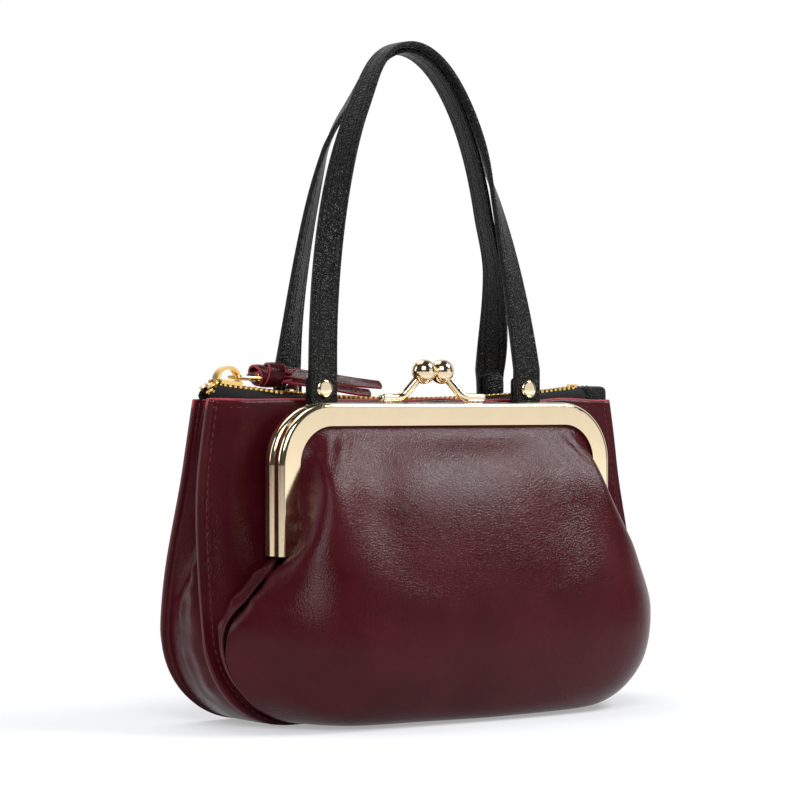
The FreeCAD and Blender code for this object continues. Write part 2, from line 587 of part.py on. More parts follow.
def make_pull():
    """The wire link, the leather strip folded through it and the keeper band round the strip."""
    link = body("zip_pull_link")
    half, bend = "(dims.link_width / 2 - dims.link_rod / 2)", "dims.link_corner"
    far = "dims.link_length"
    path = [(bend, f"-{half}"), (f"{far} - {bend}", f"-{half}", bend, 1), (far, f"-{half} + {bend}"),
            (far, f"{half} - {bend}", bend, 1), (f"{far} - {bend}", half), (bend, half, bend, 1),
            ("0", f"{half} - {bend}"), ("0", f"-{half} + {bend}", bend, 1)]
    route = body_sketch(link, "link_path", "XY_Plane", path)
    wire = body_sketch(link, "link_wire", "YZ_Plane", at=f"{bend}")
    draw_circle(wire, f"-{half}", "0", "dims.link_rod / 2")
    pipe(link, "link_sweep", wire, route)
    link.Placement = pull_place()

    eye = "(dims.link_rod / 2 + dims.slip_gap)"
    loop = f"({eye} + dims.pull_strip)"
    layer, split = "(dims.pull_strip + dims.slip_gap)", "dims.slip_gap"
    neck, parting = f"{far} + dims.pull_neck", f"{far} + dims.pull_split"
    long_end, short_end = f"{far} + dims.pull_long_tail", f"{far} + dims.pull_short_tail"
    strip = [(far, loop, loop, 1), (f"{far} - {loop}", "0", loop, 1), (far, f"-{loop}"), (neck, f"-{layer}"),
             (short_end, f"-{layer}"), (short_end, f"-{split}"), (parting, f"-{split}"), (parting, split),
             (long_end, split), (long_end, layer), (neck, layer)]
    profile = free_sketch("pull_strap_profile", "XZ", strip)
    draw_circle(profile, far, "0", eye)
    strap = extrude("pull_strap", profile, "dims.pull_width / 2", "dims.pull_width / 2")
    node(strap, "pull_strap")
    strap.Placement = pull_place()

    keeper = body("pull_keeper")
    inner_y, inner_z = "(dims.pull_width / 2 + dims.fit_gap)", f"({layer} + dims.fit_gap)"
    wall = "dims.keeper_thickness"
    outer_y, outer_z = f"({inner_y} + {wall})", f"({inner_z} + {wall})"
    hole = [(f"-{inner_y}", f"-{inner_z}"), (inner_y, f"-{inner_z}"), (inner_y, inner_z),
            (f"-{inner_y}", inner_z)]
    rim = [(f"-{outer_y}", f"-{inner_z}", wall, 1), (f"-{inner_y}", f"-{outer_z}"),
           (inner_y, f"-{outer_z}", wall, 1), (outer_y, f"-{inner_z}"), (outer_y, inner_z, wall, 1),
           (inner_y, outer_z), (f"-{inner_y}", outer_z, wall, 1), (f"-{outer_y}", inner_z)]
    section = body_sketch(keeper, "keeper_section", "YZ_Plane", rim, hole, at=f"{far} + dims.keeper_start")
    pad(keeper, "keeper_band", section, "dims.keeper_length")
    keeper.Placement = pull_place()


def make_zip():
    for side, word in ((FRONT, "front"), (REAR, "rear")):
        make_tape(side, word)
        make_teeth(side, word)
    make_stops()
    make_end_tab()
    make_slider()
    make_pull()


# The handles


def strap_plate(label, side, depth, thickness, upper, width):
    """A pair of upright leather plates at the strap places, rounded at the bottom, with rivet holes."""
    middle, half = "dims.strap_spacing / 2", f"{width} / 2"
    low, corner = "dims.bag_height - dims.strap_tail", "dims.tab_corner"
    left, right = f"{middle} - {half}", f"{middle} + {half}"
    outline = [(left, f"{low} + {corner}", corner, 1), (f"{left} + {corner}", low),
               (f"{right} - {corner}", low, corner, 1), (right, f"{low} + {corner}"), (right, upper),
               (left, upper)]
    sketch = free_sketch(f"{label}_outline", "XZ", outline,
                         at=f"places.bag_mid_y + {side} * (dims.bag_top_depth / 2 + {depth})")
    draw_circle(sketch, middle, "dims.bag_height + dims.rivet_rise", "dims.rivet_post / 2 + dims.fit_gap")
    spans = (thickness, "0") if side == FRONT else ("0", thickness)
    return mirrored_pair(label, extrude(f"{label}_right", sketch, *spans))


def make_rivets(label, side):
    """Double-cap rivets: a domed cap outside, a flat one inside and the post between them."""
    stack = "(dims.tab_thickness + dims.strap_thickness + 3 * dims.fit_gap)"
    post, cap = "dims.rivet_post / 2", "dims.rivet_diameter / 2"
    rise = "(dims.rivet_dome - dims.rivet_rim)"
    crown = f"(({cap})^2 + {rise}^2) / (2 * {rise})"
    profile = free_sketch(f"{label}_profile", "YZ", [
        ("0", "0"), ("0", "-dims.rivet_back"), (cap, "-dims.rivet_back"), (cap, "0"), (post, "0"),
        (post, stack), (cap, stack), (cap, f"{stack} + dims.rivet_rim", crown, 1),
        ("0", f"{stack} + dims.rivet_dome")])
    turned = doc.addObject("Part::Revolution", f"{label}_right")
    turned.Source = profile
    turned.Axis = UP
    turned.Solid = True
    turned.Angle = 360
    turned.Placement = FreeCAD.Placement(FreeCAD.Vector(), FreeCAD.Rotation(ALONG, -90 * side))
    bind(turned, Placement__Base__x="dims.strap_spacing / 2",
         Placement__Base__y=f"places.bag_mid_y + {side} * dims.bag_top_depth / 2",
         Placement__Base__z="dims.bag_height + dims.rivet_rise")
    return mirrored_pair(label, turned)


def make_handle(label, side):
    """A strap that rises flat from its two ends and turns edge-on to the front over the arch."""
    base_z = dims.bag_height + dims.bend_rise
    depth = dims.bag_top_depth / 2 + 2 * dims.fit_gap + dims.tab_thickness + dims.strap_thickness / 2
    base_y = places.bag_mid_y + side * depth
    top_y = places.bag_mid_y + dims.handle_lean + side * (dims.strap_width + dims.run_gap) / 2
    arch = dims.handle_top - dims.strap_thickness / 2 - base_z

    def middle(angle):
        across = math.copysign(abs(math.cos(angle)) ** HANDLE_ARCH_POWER, math.cos(angle))
        rise_share = max(math.sin(angle), 0)
        return FreeCAD.Vector(dims.strap_spacing / 2 * across, base_y + (top_y - base_y) * rise_share,
                              base_z + arch * rise_share)

    wires = []
    for number in range(HANDLE_SECTIONS):
        share = number / (HANDLE_SECTIONS - 1)
        angle = math.pi * share
        at_end = number in (0, HANDLE_SECTIONS - 1)
        step_share = 1 / (HANDLE_SECTIONS * HANDLE_SECTIONS)
        ahead = UP * (1 if share < step_share else -1)
        if not at_end:
            step = math.pi * step_share
            ahead = (middle(angle + step) - middle(angle - step)).normalize()
        outward = BACKWARD.cross(ahead).normalize()
        turn = math.pi / 2 * max(math.sin(angle), 0) ** HANDLE_TWIST_POWER
        face = (BACKWARD * side * math.cos(turn) + outward * math.sin(turn)).normalize()
        wide = ahead.cross(face) * dims.strap_width / 2
        thick = face * dims.strap_thickness / 2
        spot = middle(angle)
        corners = [spot - wide - thick, spot + wide - thick, spot + wide + thick, spot - wide + thick]
        wires.append(Part.makePolygon(corners + corners[:1]))
    shape = Part.makeLoft(wires, True, True)
    below = Part.makeBox(dims.bag_top_width, dims.total_depth, dims.strap_thickness,
                         FreeCAD.Vector(-dims.bag_top_width / 2, base_y - dims.total_depth / 2,
                                        base_z - dims.strap_thickness))
    for x in (-dims.strap_spacing / 2, dims.strap_spacing / 2):
        start = FreeCAD.Vector(x - dims.strap_width / 2, base_y, base_z)
        roll = Part.makeCylinder(dims.strap_thickness / 2, dims.strap_width, start, ALONG)
        shape = shape.fuse(roll.common(below))
    feature(label, shape)


def make_handles():
    bend_end = "dims.bag_height + dims.bend_rise - dims.strap_thickness / 2 - dims.run_gap"
    for side, word in ((FRONT, "front"), (REAR, "rear")):
        strap_plate(f"{word}_strap_tabs", side, "dims.fit_gap", "dims.tab_thickness",
                    "dims.bag_height + dims.tab_rise", "dims.strap_width")
        strap_plate(f"{word}_strap_ends", side, "2 * dims.fit_gap + dims.tab_thickness",
                    "dims.strap_thickness", bend_end, "dims.strap_width")
        make_rivets(f"{word}_rivets", side)
        make_handle(f"{word}_handle", side)


# The kiss-lock frame


def frame_path(inset, foot):
    """The line of the frame, so far out from its inner edge: up one leg, over the top, down the other."""
    x, z = f"(places.frame_inner_x + {inset})", f"(places.frame_inner_z + {inset})"
    bend = f"(places.frame_inner_radius + {inset})"
    return [(f"-{x}", foot), (f"-{x}", f"{z} - {bend}", bend, -1), (f"-{x} + {bend}", z),
            (f"{x} - {bend}", z, bend, -1), (x, f"{z} - {bend}"), (x, foot)]


def make_frame_half(label, side):
    """One U-shaped channel, open to the leather, with a hinge lug under each leg."""
    half = body(label)
    path = body_sketch(half, f"{label}_path", "XZ_Plane", frame_path("0", "places.leg_end_z"), closed=False)
    deep, wall, bend = "dims.frame_depth / 2", "dims.frame_wall", "dims.frame_round"
    edge = "-places.frame_inner_x"
    far = f"{edge} - dims.frame_band"
    section = [(edge, f"-{deep}"), (edge, f"-{deep} + {wall}"), (f"{far} + {wall}", f"-{deep} + {wall}"),
               (f"{far} + {wall}", f"{deep} - {wall}"), (edge, f"{deep} - {wall}"), (edge, deep),
               (f"{far} + {bend}", deep, bend, 1), (far, f"{deep} - {bend}"),
               (far, f"-{deep} + {bend}", bend, 1), (f"{far} + {bend}", f"-{deep}")]
    profile = body_sketch(half, f"{label}_section", "XY_Plane", section, at="places.leg_end_z")
    pipe(half, f"{label}_channel", profile, path)
    axis = f"-({side}) * places.frame_offset"
    root = "places.leg_end_z + dims.lug_root"
    inner_side = f"-({side}) * ({deep} - {wall} / 2)"
    outer_side = f"({side}) * ({deep} - {wall} / 2)"
    eye = "dims.lug_radius"
    lug = [(inner_side, root), (outer_side, root),
           (f"{axis} + ({side}) * {eye}", "places.hinge_z", eye, -side),
           (axis, f"places.hinge_z - {eye}", eye, -side), (f"{axis} - ({side}) * {eye}", "places.hinge_z")]
    start = "places.frame_inner_x + dims.lug_inset" if side == FRONT else "places.lug_out_x"
    sketch = body_sketch(half, f"{label}_lug_outline", "YZ_Plane", lug, at=start)
    draw_circle(sketch, axis, "places.hinge_z", "dims.pin_diameter / 2 + dims.pin_clearance")
    tongue = pad(half, f"{label}_lug", sketch, "dims.lug_thickness")
    doc.recompute()
    twin = half.newObject("PartDesign::Mirrored", f"{label}_lugs")
    twin.Originals = [tongue]
    twin.MirrorPlane = (next(o for o in half.Origin.OriginFeatures if o.Role == "YZ_Plane"), [""])
    half.Tip = twin
    bind(half, Placement__Base__y=f"places.hinge_y + ({side}) * places.frame_offset")


def make_hinge_pins():
    """A headed pin through both lugs of each side."""
    post, head = "dims.pin_diameter / 2", "dims.pin_head_diameter / 2"
    inner = "places.frame_inner_x + dims.lug_inset - dims.slip_gap"
    outer = "places.lug_out_x + dims.lug_thickness + dims.slip_gap"
    profile = free_sketch("hinge_pins_profile", "XZ", [
        (f"{inner} - dims.pin_head", "0"), (f"{outer} + dims.pin_head", "0"),
        (f"{outer} + dims.pin_head", head), (outer, head), (outer, post), (inner, post), (inner, head),
        (f"{inner} - dims.pin_head", head)])
    turned = doc.addObject("Part::Revolution", "hinge_pins_right")
    turned.Source = profile
    turned.Axis = ALONG
    turned.Solid = True
    turned.Angle = 360
    bind(turned, Placement__Base__y="places.hinge_y", Placement__Base__z="places.hinge_z")
    mirrored_pair("hinge_pins", turned)


def bent_wire(points, radius):
    """A path of straight runs with a round bend of one radius at each inner point."""
    edges = []
    start = points[0]
    for before, corner, after in zip(points, points[1:], points[2:]):
        back, ahead = (before - corner).normalize(), (after - corner).normalize()
        half_turn = back.getAngle(ahead) / 2
        reach = radius / math.tan(half_turn)
        inner = (back + ahead).normalize() * (radius / math.sin(half_turn) - radius)
        bend_start, bend_end = corner + back * reach, corner + ahead * reach
        edges.append(Part.makeLine(start, bend_start))
        edges.append(Part.Arc(bend_start, corner + inner, bend_end).toShape())
        start = bend_end
    edges.append(Part.makeLine(start, points[-1]))
    return Part.Wire(edges)


def round_rod(path, diameter):
    """A round rod along a path."""
    first = path.Edges[0]
    start = first.valueAt(first.FirstParameter)
    ring = Part.Wire(Part.makeCircle(diameter / 2, start, first.tangentAt(first.FirstParameter)))
    return path.makePipeShell([ring], True, False)


def make_clasps():
    """A ball on a bent arm, which stands on two pegs and leans over the joint of the frame, for each half."""
    foot_y = places.hinge_y - places.frame_offset
    axis_z = places.frame_top_z + dims.arm_gap + dims.arm_rod / 2
    ball = FreeCAD.Vector((dims.ball_diameter + dims.run_gap) / 2, places.hinge_y + dims.ball_cross,
                          places.frame_top_z + dims.ball_rise)
    foot = FreeCAD.Vector(dims.arm_reach, foot_y, axis_z)
    elbow = FreeCAD.Vector(dims.arm_elbow, foot_y, axis_z)
    shape = round_rod(bent_wire([foot, elbow, ball], dims.arm_bend), dims.arm_rod)
    shape = shape.fuse(Part.makeSphere(dims.ball_diameter / 2, ball))
    shape = shape.fuse(Part.makeSphere(dims.arm_rod / 2, foot))
    for x in (dims.arm_reach - dims.peg_diameter / 2, dims.arm_elbow + dims.arm_bend):
        root = FreeCAD.Vector(x, foot_y, places.frame_top_z)
        shape = shape.fuse(Part.makeCylinder(dims.peg_diameter / 2, dims.arm_gap + dims.arm_rod / 2, root))
    shape = shape.removeSplitter()
    twin = shape.rotated(FreeCAD.Vector(0, places.hinge_y, 0), UP, 180)
    feature("front_clasp", shape.translated(ALONG * dims.clasp_offset))
    feature("rear_clasp", twin.translated(ALONG * dims.clasp_offset))


def make_cord(label, side):
    """The paper cord that wedges the leather in a channel, beside it and against the channel's bottom."""
    out = dims.frame_band - dims.frame_wall - dims.slip_gap - dims.cord_diameter / 2
    x, z = places.frame_inner_x + out, places.frame_inner_z + out
    slot_half = dims.frame_depth / 2 - dims.frame_wall
    leather_in = dims.slip_gap + dims.leather + dims.fit_gap
    y = places.hinge_y + side * (places.frame_offset + slot_half - leather_in - dims.cord_diameter / 2)
    foot = places.leg_end_z + dims.lug_root + dims.run_gap
    points = [FreeCAD.Vector(*spot) for spot in ((-x, y, foot), (-x, y, z), (x, y, z), (x, y, foot))]
    feature(label, round_rod(bent_wire(points, places.frame_inner_radius + out), dims.cord_diameter))


def make_frame():
    for side, word in ((FRONT, "front"), (REAR, "rear")):
        make_frame_half(f"{word}_frame", side)
        make_cord(f"{word}_frame_cord", side)
    make_clasps()
    make_hinge_pins()


# The pouch


def pouch_outline(half_top, top, shoulder, half_wide, widest, floor):
    """The pouch in the XZ plane as corners for draw: square between the legs, with round shoulders below."""
    spread = f"({half_wide} - {half_top})"
    bend = f"({spread}^2 + ({shoulder} - {widest})^2) / (2 * {spread})"
    corner = f"({widest} - {floor})"
    return [(f"-{half_top}", top), (f"-{half_top}", shoulder, bend, 1), (f"-{half_wide}", widest, corner, 1),
            (f"-{half_wide} + {corner}", floor), (f"{half_wide} - {corner}", floor, corner, 1),
            (half_wide, widest, bend, 1), (half_top, shoulder), (half_top, top)]


def pouch_section(y, station, inset):
    """One cross-section of the bulging front, parallel to the frame, as a wire."""
    _, fall_share, climb_share, top_share, wide_share, floor_share, bulge_share = station
    widest = dims.pouch_widest_z
    floor = widest * floor_share + inset
    height = places.frame_inner_z - dims.pouch_clear
    top = height * (1 - fall_share) - inset
    half_wide = places.pouch_width / 2 * wide_share - inset
    half_top = (places.frame_inner_x - dims.pouch_clear) * top_share - inset
    shoulder = dims.pouch_shoulder_z + (height - dims.pouch_shoulder_z) * climb_share - inset
    spread = half_wide - half_top
    bend = (spread ** 2 + (shoulder - widest) ** 2) / (2 * spread)
    corner = widest - floor
    brow = min(places.frame_inner_radius - dims.pouch_clear - inset, (top - shoulder) / 2)

    def spot(x, z):
        return FreeCAD.Vector(x, y, z)

    def arc(start, end, centre, bulge_share=1):
        towards = (start - centre + end - centre).normalize() * (start - centre).Length
        middle = (start + end) / 2
        return Part.Arc(start, middle + (centre + towards - middle) * bulge_share, end).toShape()

    left = [spot(-half_top + brow, top), spot(-half_top, top - brow), spot(-half_top, shoulder),
            spot(-half_wide, widest), spot(-half_wide + corner, floor)]
    right = [spot(-point.x, point.z) for point in left]
    edges = [arc(left[0], left[1], spot(brow - half_top, top - brow)), Part.makeLine(left[1], left[2]),
             arc(left[2], left[3], spot(bend - half_wide, widest), bulge_share),
             arc(left[3], left[4], spot(corner - half_wide, widest)), Part.makeLine(left[4], right[4]),
             arc(right[4], right[3], spot(half_wide - corner, widest)),
             arc(right[3], right[2], spot(half_wide - bend, widest), bulge_share),
             Part.makeLine(right[2], right[1]), arc(right[1], right[0], spot(half_top - brow, top - brow)),
             Part.makeLine(right[0], left[0])]
    return Part.Wire(edges)


def pouch_dome(inset, back_y, bulge):
    """The solid from the rim's back face past the channel to a front so far bulged, inset by a thickness."""
    lead = dims.frame_wall + 2 * dims.slip_gap
    wires = [pouch_section(back_y, POUCH_STATIONS[0], inset)]
    for station in POUCH_STATIONS:
        y = places.pouch_rim_y - lead - (bulge - lead) * station[0]
        wires.append(pouch_section(y, station, inset))
    return Part.makeLoft(wires, True, True)


def make_pouch_front():
    """The front panel: a bulging shell with a flat tongue in the front channel, cut at the hinge line."""
    back_y = places.pouch_rim_y + dims.leather
    shell = pouch_dome(0, back_y, places.pouch_bulge)
    hollow = pouch_dome(dims.leather, back_y + dims.overrun, places.pouch_bulge - dims.leather)
    shell = shell.cut(hollow)
    tongue = free_sketch("pouch_front_tongue", "XZ", pouch_tongue_loop(),
                         at="places.pouch_rim_y + dims.leather")
    flap = extrude("pouch_front_tongue_solid", tongue, "dims.leather")
    doc.recompute()
    shell = shell.fuse(flap.Shape).removeSplitter()
    span = places.pouch_width + 2 * dims.overrun
    corner = FreeCAD.Vector(-span / 2, -dims.total_depth, 0)
    split = places.hinge_z
    below = Part.makeBox(span, 2 * dims.total_depth, split - dims.fit_gap, corner)
    above = Part.makeBox(span, 2 * dims.total_depth, dims.bag_height, corner + UP * split)
    feature("pouch_front_panel_lower", shell.common(below))
    feature("pouch_front_panel_upper", shell.common(above))


def pouch_tongue_loop():
    """The leather inside a channel: a U-shaped band from inside the channel to just inside the frame."""
    foot = "places.leg_end_z + dims.lug_root + dims.run_gap"
    outer = frame_path("dims.tongue", foot)
    inner = frame_path("-(dims.pouch_clear + dims.leather)", foot)
    return outer + upward(inner)


def make_pouch_back():
    """The rear panel: one flat sheet from inside the rear channel to the floor, its lining and the gusset."""
    half_top, top = "(places.frame_inner_x - dims.pouch_clear)", "places.frame_inner_z"
    half_wide, widest, shoulder = "(places.pouch_width / 2)", "dims.pouch_widest_z", "dims.pouch_shoulder_z"
    outline = pouch_outline(half_top, top, shoulder, half_wide, widest, "0")
    sheet = free_sketch("pouch_rear_sheet", "XZ", outline, at="places.pouch_back_y")
    tongue = free_sketch("pouch_rear_tongue", "XZ", pouch_tongue_loop(), at="places.pouch_back_y")
    rear = combine("Part::Fuse", "pouch_rear_panel", extrude("pouch_rear_sheet_solid", sheet, "dims.leather"),
                   extrude("pouch_rear_tongue_solid", tongue, "dims.leather"))
    rear.Refine = True
    node(rear, "pouch_rear_panel")

    inset = "dims.seam_lip + dims.leather + dims.slip_gap"
    cloth = free_sketch("pouch_lining_outline", "XZ", pouch_outline(
        f"({half_top} - ({inset}))", f"{top} - dims.seam_lip", f"({shoulder} - ({inset}))",
        f"({half_wide} - ({inset}))", widest, f"({inset})"),
        at="places.pouch_back_y - dims.leather - dims.fit_gap")
    node(extrude("pouch_lining", cloth, "dims.lining"), "pouch_lining")

    outer = pouch_band("dims.seam_lip", "0")
    inner = pouch_band("dims.seam_lip + dims.leather", "dims.leather")
    strip = free_sketch("pouch_gusset_band", "XZ", outer + upward(inner),
                        at="places.pouch_back_y - dims.leather - dims.fit_gap")
    span = "places.pouch_back_y - places.pouch_rim_y - 2 * (dims.leather + dims.fit_gap)"
    node(extrude("pouch_gusset", strip, span), "pouch_gusset")


def pouch_band(inset, floor):
    """The open line of the gusset round the lower pouch, from its left end to its right."""
    half_wide, widest = f"(places.pouch_width / 2 - ({inset}))", "dims.pouch_widest_z"
    half_top = f"(places.frame_inner_x - dims.pouch_clear - ({inset}))"
    spread = f"({half_wide} - {half_top})"
    rise = f"(dims.pouch_shoulder_z - ({inset}) - {widest})"
    bend = f"(({spread}^2 + {rise}^2) / (2 * {spread}))"
    end = "(dims.gusset_top_z - dims.pouch_widest_z)"
    end_x = f"({half_wide} - {bend} + sqrt({bend}^2 - {end}^2))"
    corner = f"({widest} - {floor})"
    return [(f"-{end_x}", "dims.gusset_top_z", bend, 1), (f"-{half_wide}", widest, corner, 1),
            (f"-{half_wide} + {corner}", floor), (f"{half_wide} - {corner}", floor, corner, 1),
            (half_wide, widest, bend, 1), (end_x, "dims.gusset_top_z")]


def main():
    make_bag()
    make_zip()
    make_handles()
    make_frame()
    make_pouch_back()
    make_pouch_front()
    doc.recompute()
    broken = [thing.Name for thing in doc.Objects if {"Invalid", "Error"} & set(thing.State)]
    broken += [label for label, thing in nodes.items() if thing.Shape.isNull() or not thing.Shape.isValid()]
    if broken:
        raise RuntimeError(f"these failed: {broken}")
    os.makedirs("parts", exist_ok=True)
    for label, thing in nodes.items():
        thing.Shape.exportStep(f"parts/{label}.step")
        print(label, len(thing.Shape.Solids), "solids", round(thing.Shape.Volume, 1), "mm3")


main()
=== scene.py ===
import bpy
import bmesh
import math
import numpy as np
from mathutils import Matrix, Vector


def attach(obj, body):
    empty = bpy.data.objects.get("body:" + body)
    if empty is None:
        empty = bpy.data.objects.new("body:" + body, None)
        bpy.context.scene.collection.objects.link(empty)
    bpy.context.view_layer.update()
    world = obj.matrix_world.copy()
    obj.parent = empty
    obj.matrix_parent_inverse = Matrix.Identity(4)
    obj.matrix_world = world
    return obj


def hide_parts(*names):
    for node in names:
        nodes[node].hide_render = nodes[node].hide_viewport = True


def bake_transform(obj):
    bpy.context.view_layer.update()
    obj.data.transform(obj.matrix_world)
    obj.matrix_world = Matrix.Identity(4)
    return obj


# A small burgundy bag with a kiss-lock pouch. Leather, cloth, teeth and rivets are worked out here as surfaces, in
# millimetres; the pouch's frame and clasp and the zip's slider, stops and link are the CAD's own.
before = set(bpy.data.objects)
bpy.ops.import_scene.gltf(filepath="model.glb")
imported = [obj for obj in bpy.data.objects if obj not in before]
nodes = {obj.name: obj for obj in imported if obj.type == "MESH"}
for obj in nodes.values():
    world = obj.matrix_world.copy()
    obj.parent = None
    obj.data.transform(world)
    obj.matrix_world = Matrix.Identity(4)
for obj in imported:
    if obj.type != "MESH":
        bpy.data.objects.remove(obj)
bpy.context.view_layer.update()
scene = bpy.context.scene
bothSides = ((-1, "front"), (1, "rear"))  # which way along y, and the word in the names
print("frame loaded with", len(nodes), "nodes")


# ramp: 3t^2 - 2t^3 of the share t that x has gone from low to high
def ramp(x, low, high):
    t = np.clip((x - low) / (high - low), 0, 1)
    return t * t * (3 - 2 * t)


# spline: each new row is the Catmull-Rom blend of the four rows around it
def spline(points, count):
    rows = np.asarray(points, float)
    t = np.linspace(0, len(rows) - 1, count)
    rows = np.concatenate([2 * rows[:1] - rows[1:2], rows, 2 * rows[-1:] - rows[-2:-1]])
    i = np.minimum(t.astype(int), len(rows) - 4)
    f = (t - i)[:, None]
    a, b, c, d = rows[i], rows[i + 1], rows[i + 2], rows[i + 3]
    return b + f / 2 * (c - a + f * (2 * a - 5 * b + 4 * c - d + f * (3 * (b - c) + d - a)))


# thinPlate: a bent sheet through control spots; each spot pulls by r^2 log r, on top of a tilted plane
def thinPlate(spots, values, where, slack):
    def tug(a, b):
        gap = ((a[:, None, :] - b[None, :, :]) ** 2).sum(-1)
        return gap / 2 * np.log(gap + 1e-12)
    n = len(spots)
    plane = np.column_stack([np.ones(n), spots])
    system = np.zeros((n + 3, n + 3))
    system[:n, :n] = tug(spots, spots) + np.diag(slack)
    system[:n, n:] = plane
    system[n:, :n] = plane.T
    weights = np.linalg.solve(system, np.vstack([values, np.zeros((3, values.shape[1]))]))
    flat = where.reshape(-1, 2)
    out = tug(flat, spots) @ weights[:n] + np.column_stack([np.ones(len(flat)), flat]) @ weights[n:]
    return out.reshape(where.shape[:-1] + (values.shape[1],))


# ripple: a sum of cosine waves with seeded directions, lengths between two limits and random phases
def ripple(a, b, shortest, longest, waves, seed):
    rng = np.random.default_rng(seed)
    turn, phase = rng.uniform(0, 2 * math.pi, (2, waves))
    k = 2 * math.pi / rng.uniform(shortest, longest, waves)
    total = sum(np.cos(k[i] * (a * math.cos(turn[i]) + b * math.sin(turn[i])) + phase[i]) for i in range(waves))
    return total / math.sqrt(waves / 2)


# unit: each vector divided by its own length
def unit(v):
    return v / np.maximum(np.linalg.norm(v, axis=-1, keepdims=True), 1e-9)


# circle: equal steps of angle once round
def circle(count):
    return np.linspace(0, 2 * math.pi, count, endpoint=False)


# aheadOf: the way a path runs at each of its points
def aheadOf(path):
    return unit(np.gradient(path, axis=0))


# squareTo: a vector with its share along the path taken out, made unit again
def squareTo(ahead, v):
    return unit(v - (v * ahead).sum(-1, keepdims=True) * ahead)


# rowsOf: the same vector for each point of a path
def rowsOf(vector, count):
    return np.tile(np.asarray(vector, float), (count, 1))


# lengthAlong: the steps between the points of a path, added up
def lengthAlong(path):
    return np.concatenate([[0], np.cumsum(np.linalg.norm(np.diff(path, axis=0), axis=1))])


# normalsOf: cross product of the two grid directions
def normalsOf(grid):
    return unit(np.cross(np.gradient(grid, axis=1), np.gradient(grid, axis=0)))


# quadsOf: the four corners of each cell of a rows x cols grid, wrapped round where asked
def quadsOf(rows, cols, wrap):
    r, c = np.meshgrid(np.arange(rows - (not wrap[0])), np.arange(cols - (not wrap[1])), indexing="ij")
    rNext, cNext = (r + 1) % rows, (c + 1) % cols
    return np.stack([r * cols + c, r * cols + cNext, rNext * cols + cNext, rNext * cols + c], -1).reshape(-1, 4)


# piece: turns grids of points (mm) into one mesh object at the origin, in a finish of that name; face says which way
# is outward, None means away from the middle of each row; uv is a grid of lengths along and across, in mm; the
# columns in trim take the edge finish
def piece(name, grids, look, body=None, stands=(), wrap=(False, False), face=None, uv=None, weld=False, wall=None,
          inner=None, edge=None, smooth=True, trim=()):
    coords, quads, uvs, kinds, start = [], [], [], [], 0
    for number, grid in enumerate(grids):
        batch = grid if grid.ndim == 4 else grid[None]
        copies, rows, cols = batch.shape[:3]
        sample = batch[0]
        normal = np.cross(np.gradient(sample, axis=1), np.gradient(sample, axis=0))
        away = sample - sample.mean(axis=1, keepdims=True) if face is None else np.asarray(face, float)
        cells = quadsOf(rows, cols, wrap)
        if (normal * away).sum() < 0:
            cells = cells[:, ::-1]
        offsets = start + np.arange(copies)[:, None, None] * rows * cols
        quads.append((cells[None] + offsets).reshape(-1, 4))
        coords.append(batch.reshape(-1, 3))
        kinds.append(np.tile(np.isin(np.arange(len(cells)) % (cols - (not wrap[1])), list(trim)), copies))
        if uv is not None:
            uvs.append(uv[number].reshape(-1, 2))
        start += copies * rows * cols
    mesh = bpy.data.meshes.new(name)
    allQuads = np.concatenate(quads)
    mesh.from_pydata((np.concatenate(coords) * 0.001).tolist(), [], allQuads.tolist())
    mesh.polygons.foreach_set("material_index", np.concatenate(kinds).astype(np.int32))
    if uv is not None:
        layer = mesh.uv_layers.new(name="lengths")
        layer.data.foreach_set("uv", (np.concatenate(uvs)[allQuads.reshape(-1)] * 0.001).reshape(-1))
    if weld:
        shell = bmesh.new()
        shell.from_mesh(mesh)
        bmesh.ops.remove_doubles(shell, verts=shell.verts, dist=1e-7)
        shell.to_mesh(mesh)
        shell.free()
    mesh.polygons.foreach_set("use_smooth", [smooth] * len(mesh.polygons))
    mesh.update()
    for key in filter(None, (look, inner, edge)):
        mesh.materials.append(finish[key])
    obj = bpy.data.objects.new(name, mesh)
    scene.collection.objects.link(obj)
    if wall:
        shell = obj.modifiers.new("thickness", "SOLIDIFY")
        shell.thickness = wall * 0.001
        shell.offset = -1
        shell.material_offset = 1 if inner else 0
        shell.material_offset_rim = (2 if inner else 1) if edge else 0
    if body:
        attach(obj, body)
    if stands:
        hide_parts(*stands)
    return obj


# rounded: a piece whose rows close round, with the poles at its ends welded
def rounded(*given, **more):
    return piece(*given, wrap=(False, True), weld=True, **more)


# scatter: a small shape of one grid set down at many places; along, across and up are unit vectors there
def scatter(shape, places, along, across, up):
    return (places[:, None, None, :] + shape[None, ..., 0:1] * along[:, None, None, :]
            + shape[None, ..., 1:2] * across[:, None, None, :] + shape[None, ..., 2:3] * up[:, None, None, :])


# evenly: points at equal steps along a polyline, with a stretch left free at its start and its end
def evenly(path, step, start, end):
    run = lengthAlong(path)
    at = np.arange(start, run[-1] - end, step)
    return np.stack([np.interp(at, run, path[:, i]) for i in range(path.shape[1])], -1)


# stitchBead: a stretched ball, longer along the seam, as rings from pole to pole
def stitchBead(length, width, height):
    tilt = np.linspace(0, math.pi, 6)[:, None]
    turn = circle(6)[None]
    flat = np.ones_like(turn)
    return np.stack([-np.cos(tilt) * length / 2 * flat, np.sin(tilt) * np.cos(turn) * width / 2,
                     np.sin(tilt) * np.sin(turn) * height / 2], -1)


# seam: beads along a path; each lies along the path's own direction, standing on the normals given
def seam(path, normals, length=2.4, gap=1.1, width=0.7, height=0.6, start=1.0):
    at = evenly(np.concatenate([path, normals], -1), length + gap, start, start)
    ahead = aheadOf(at[:, :3])
    across = unit(np.cross(at[:, 3:], ahead))
    return scatter(stitchBead(length, width, height), at[:, :3], ahead, across, np.cross(ahead, across))


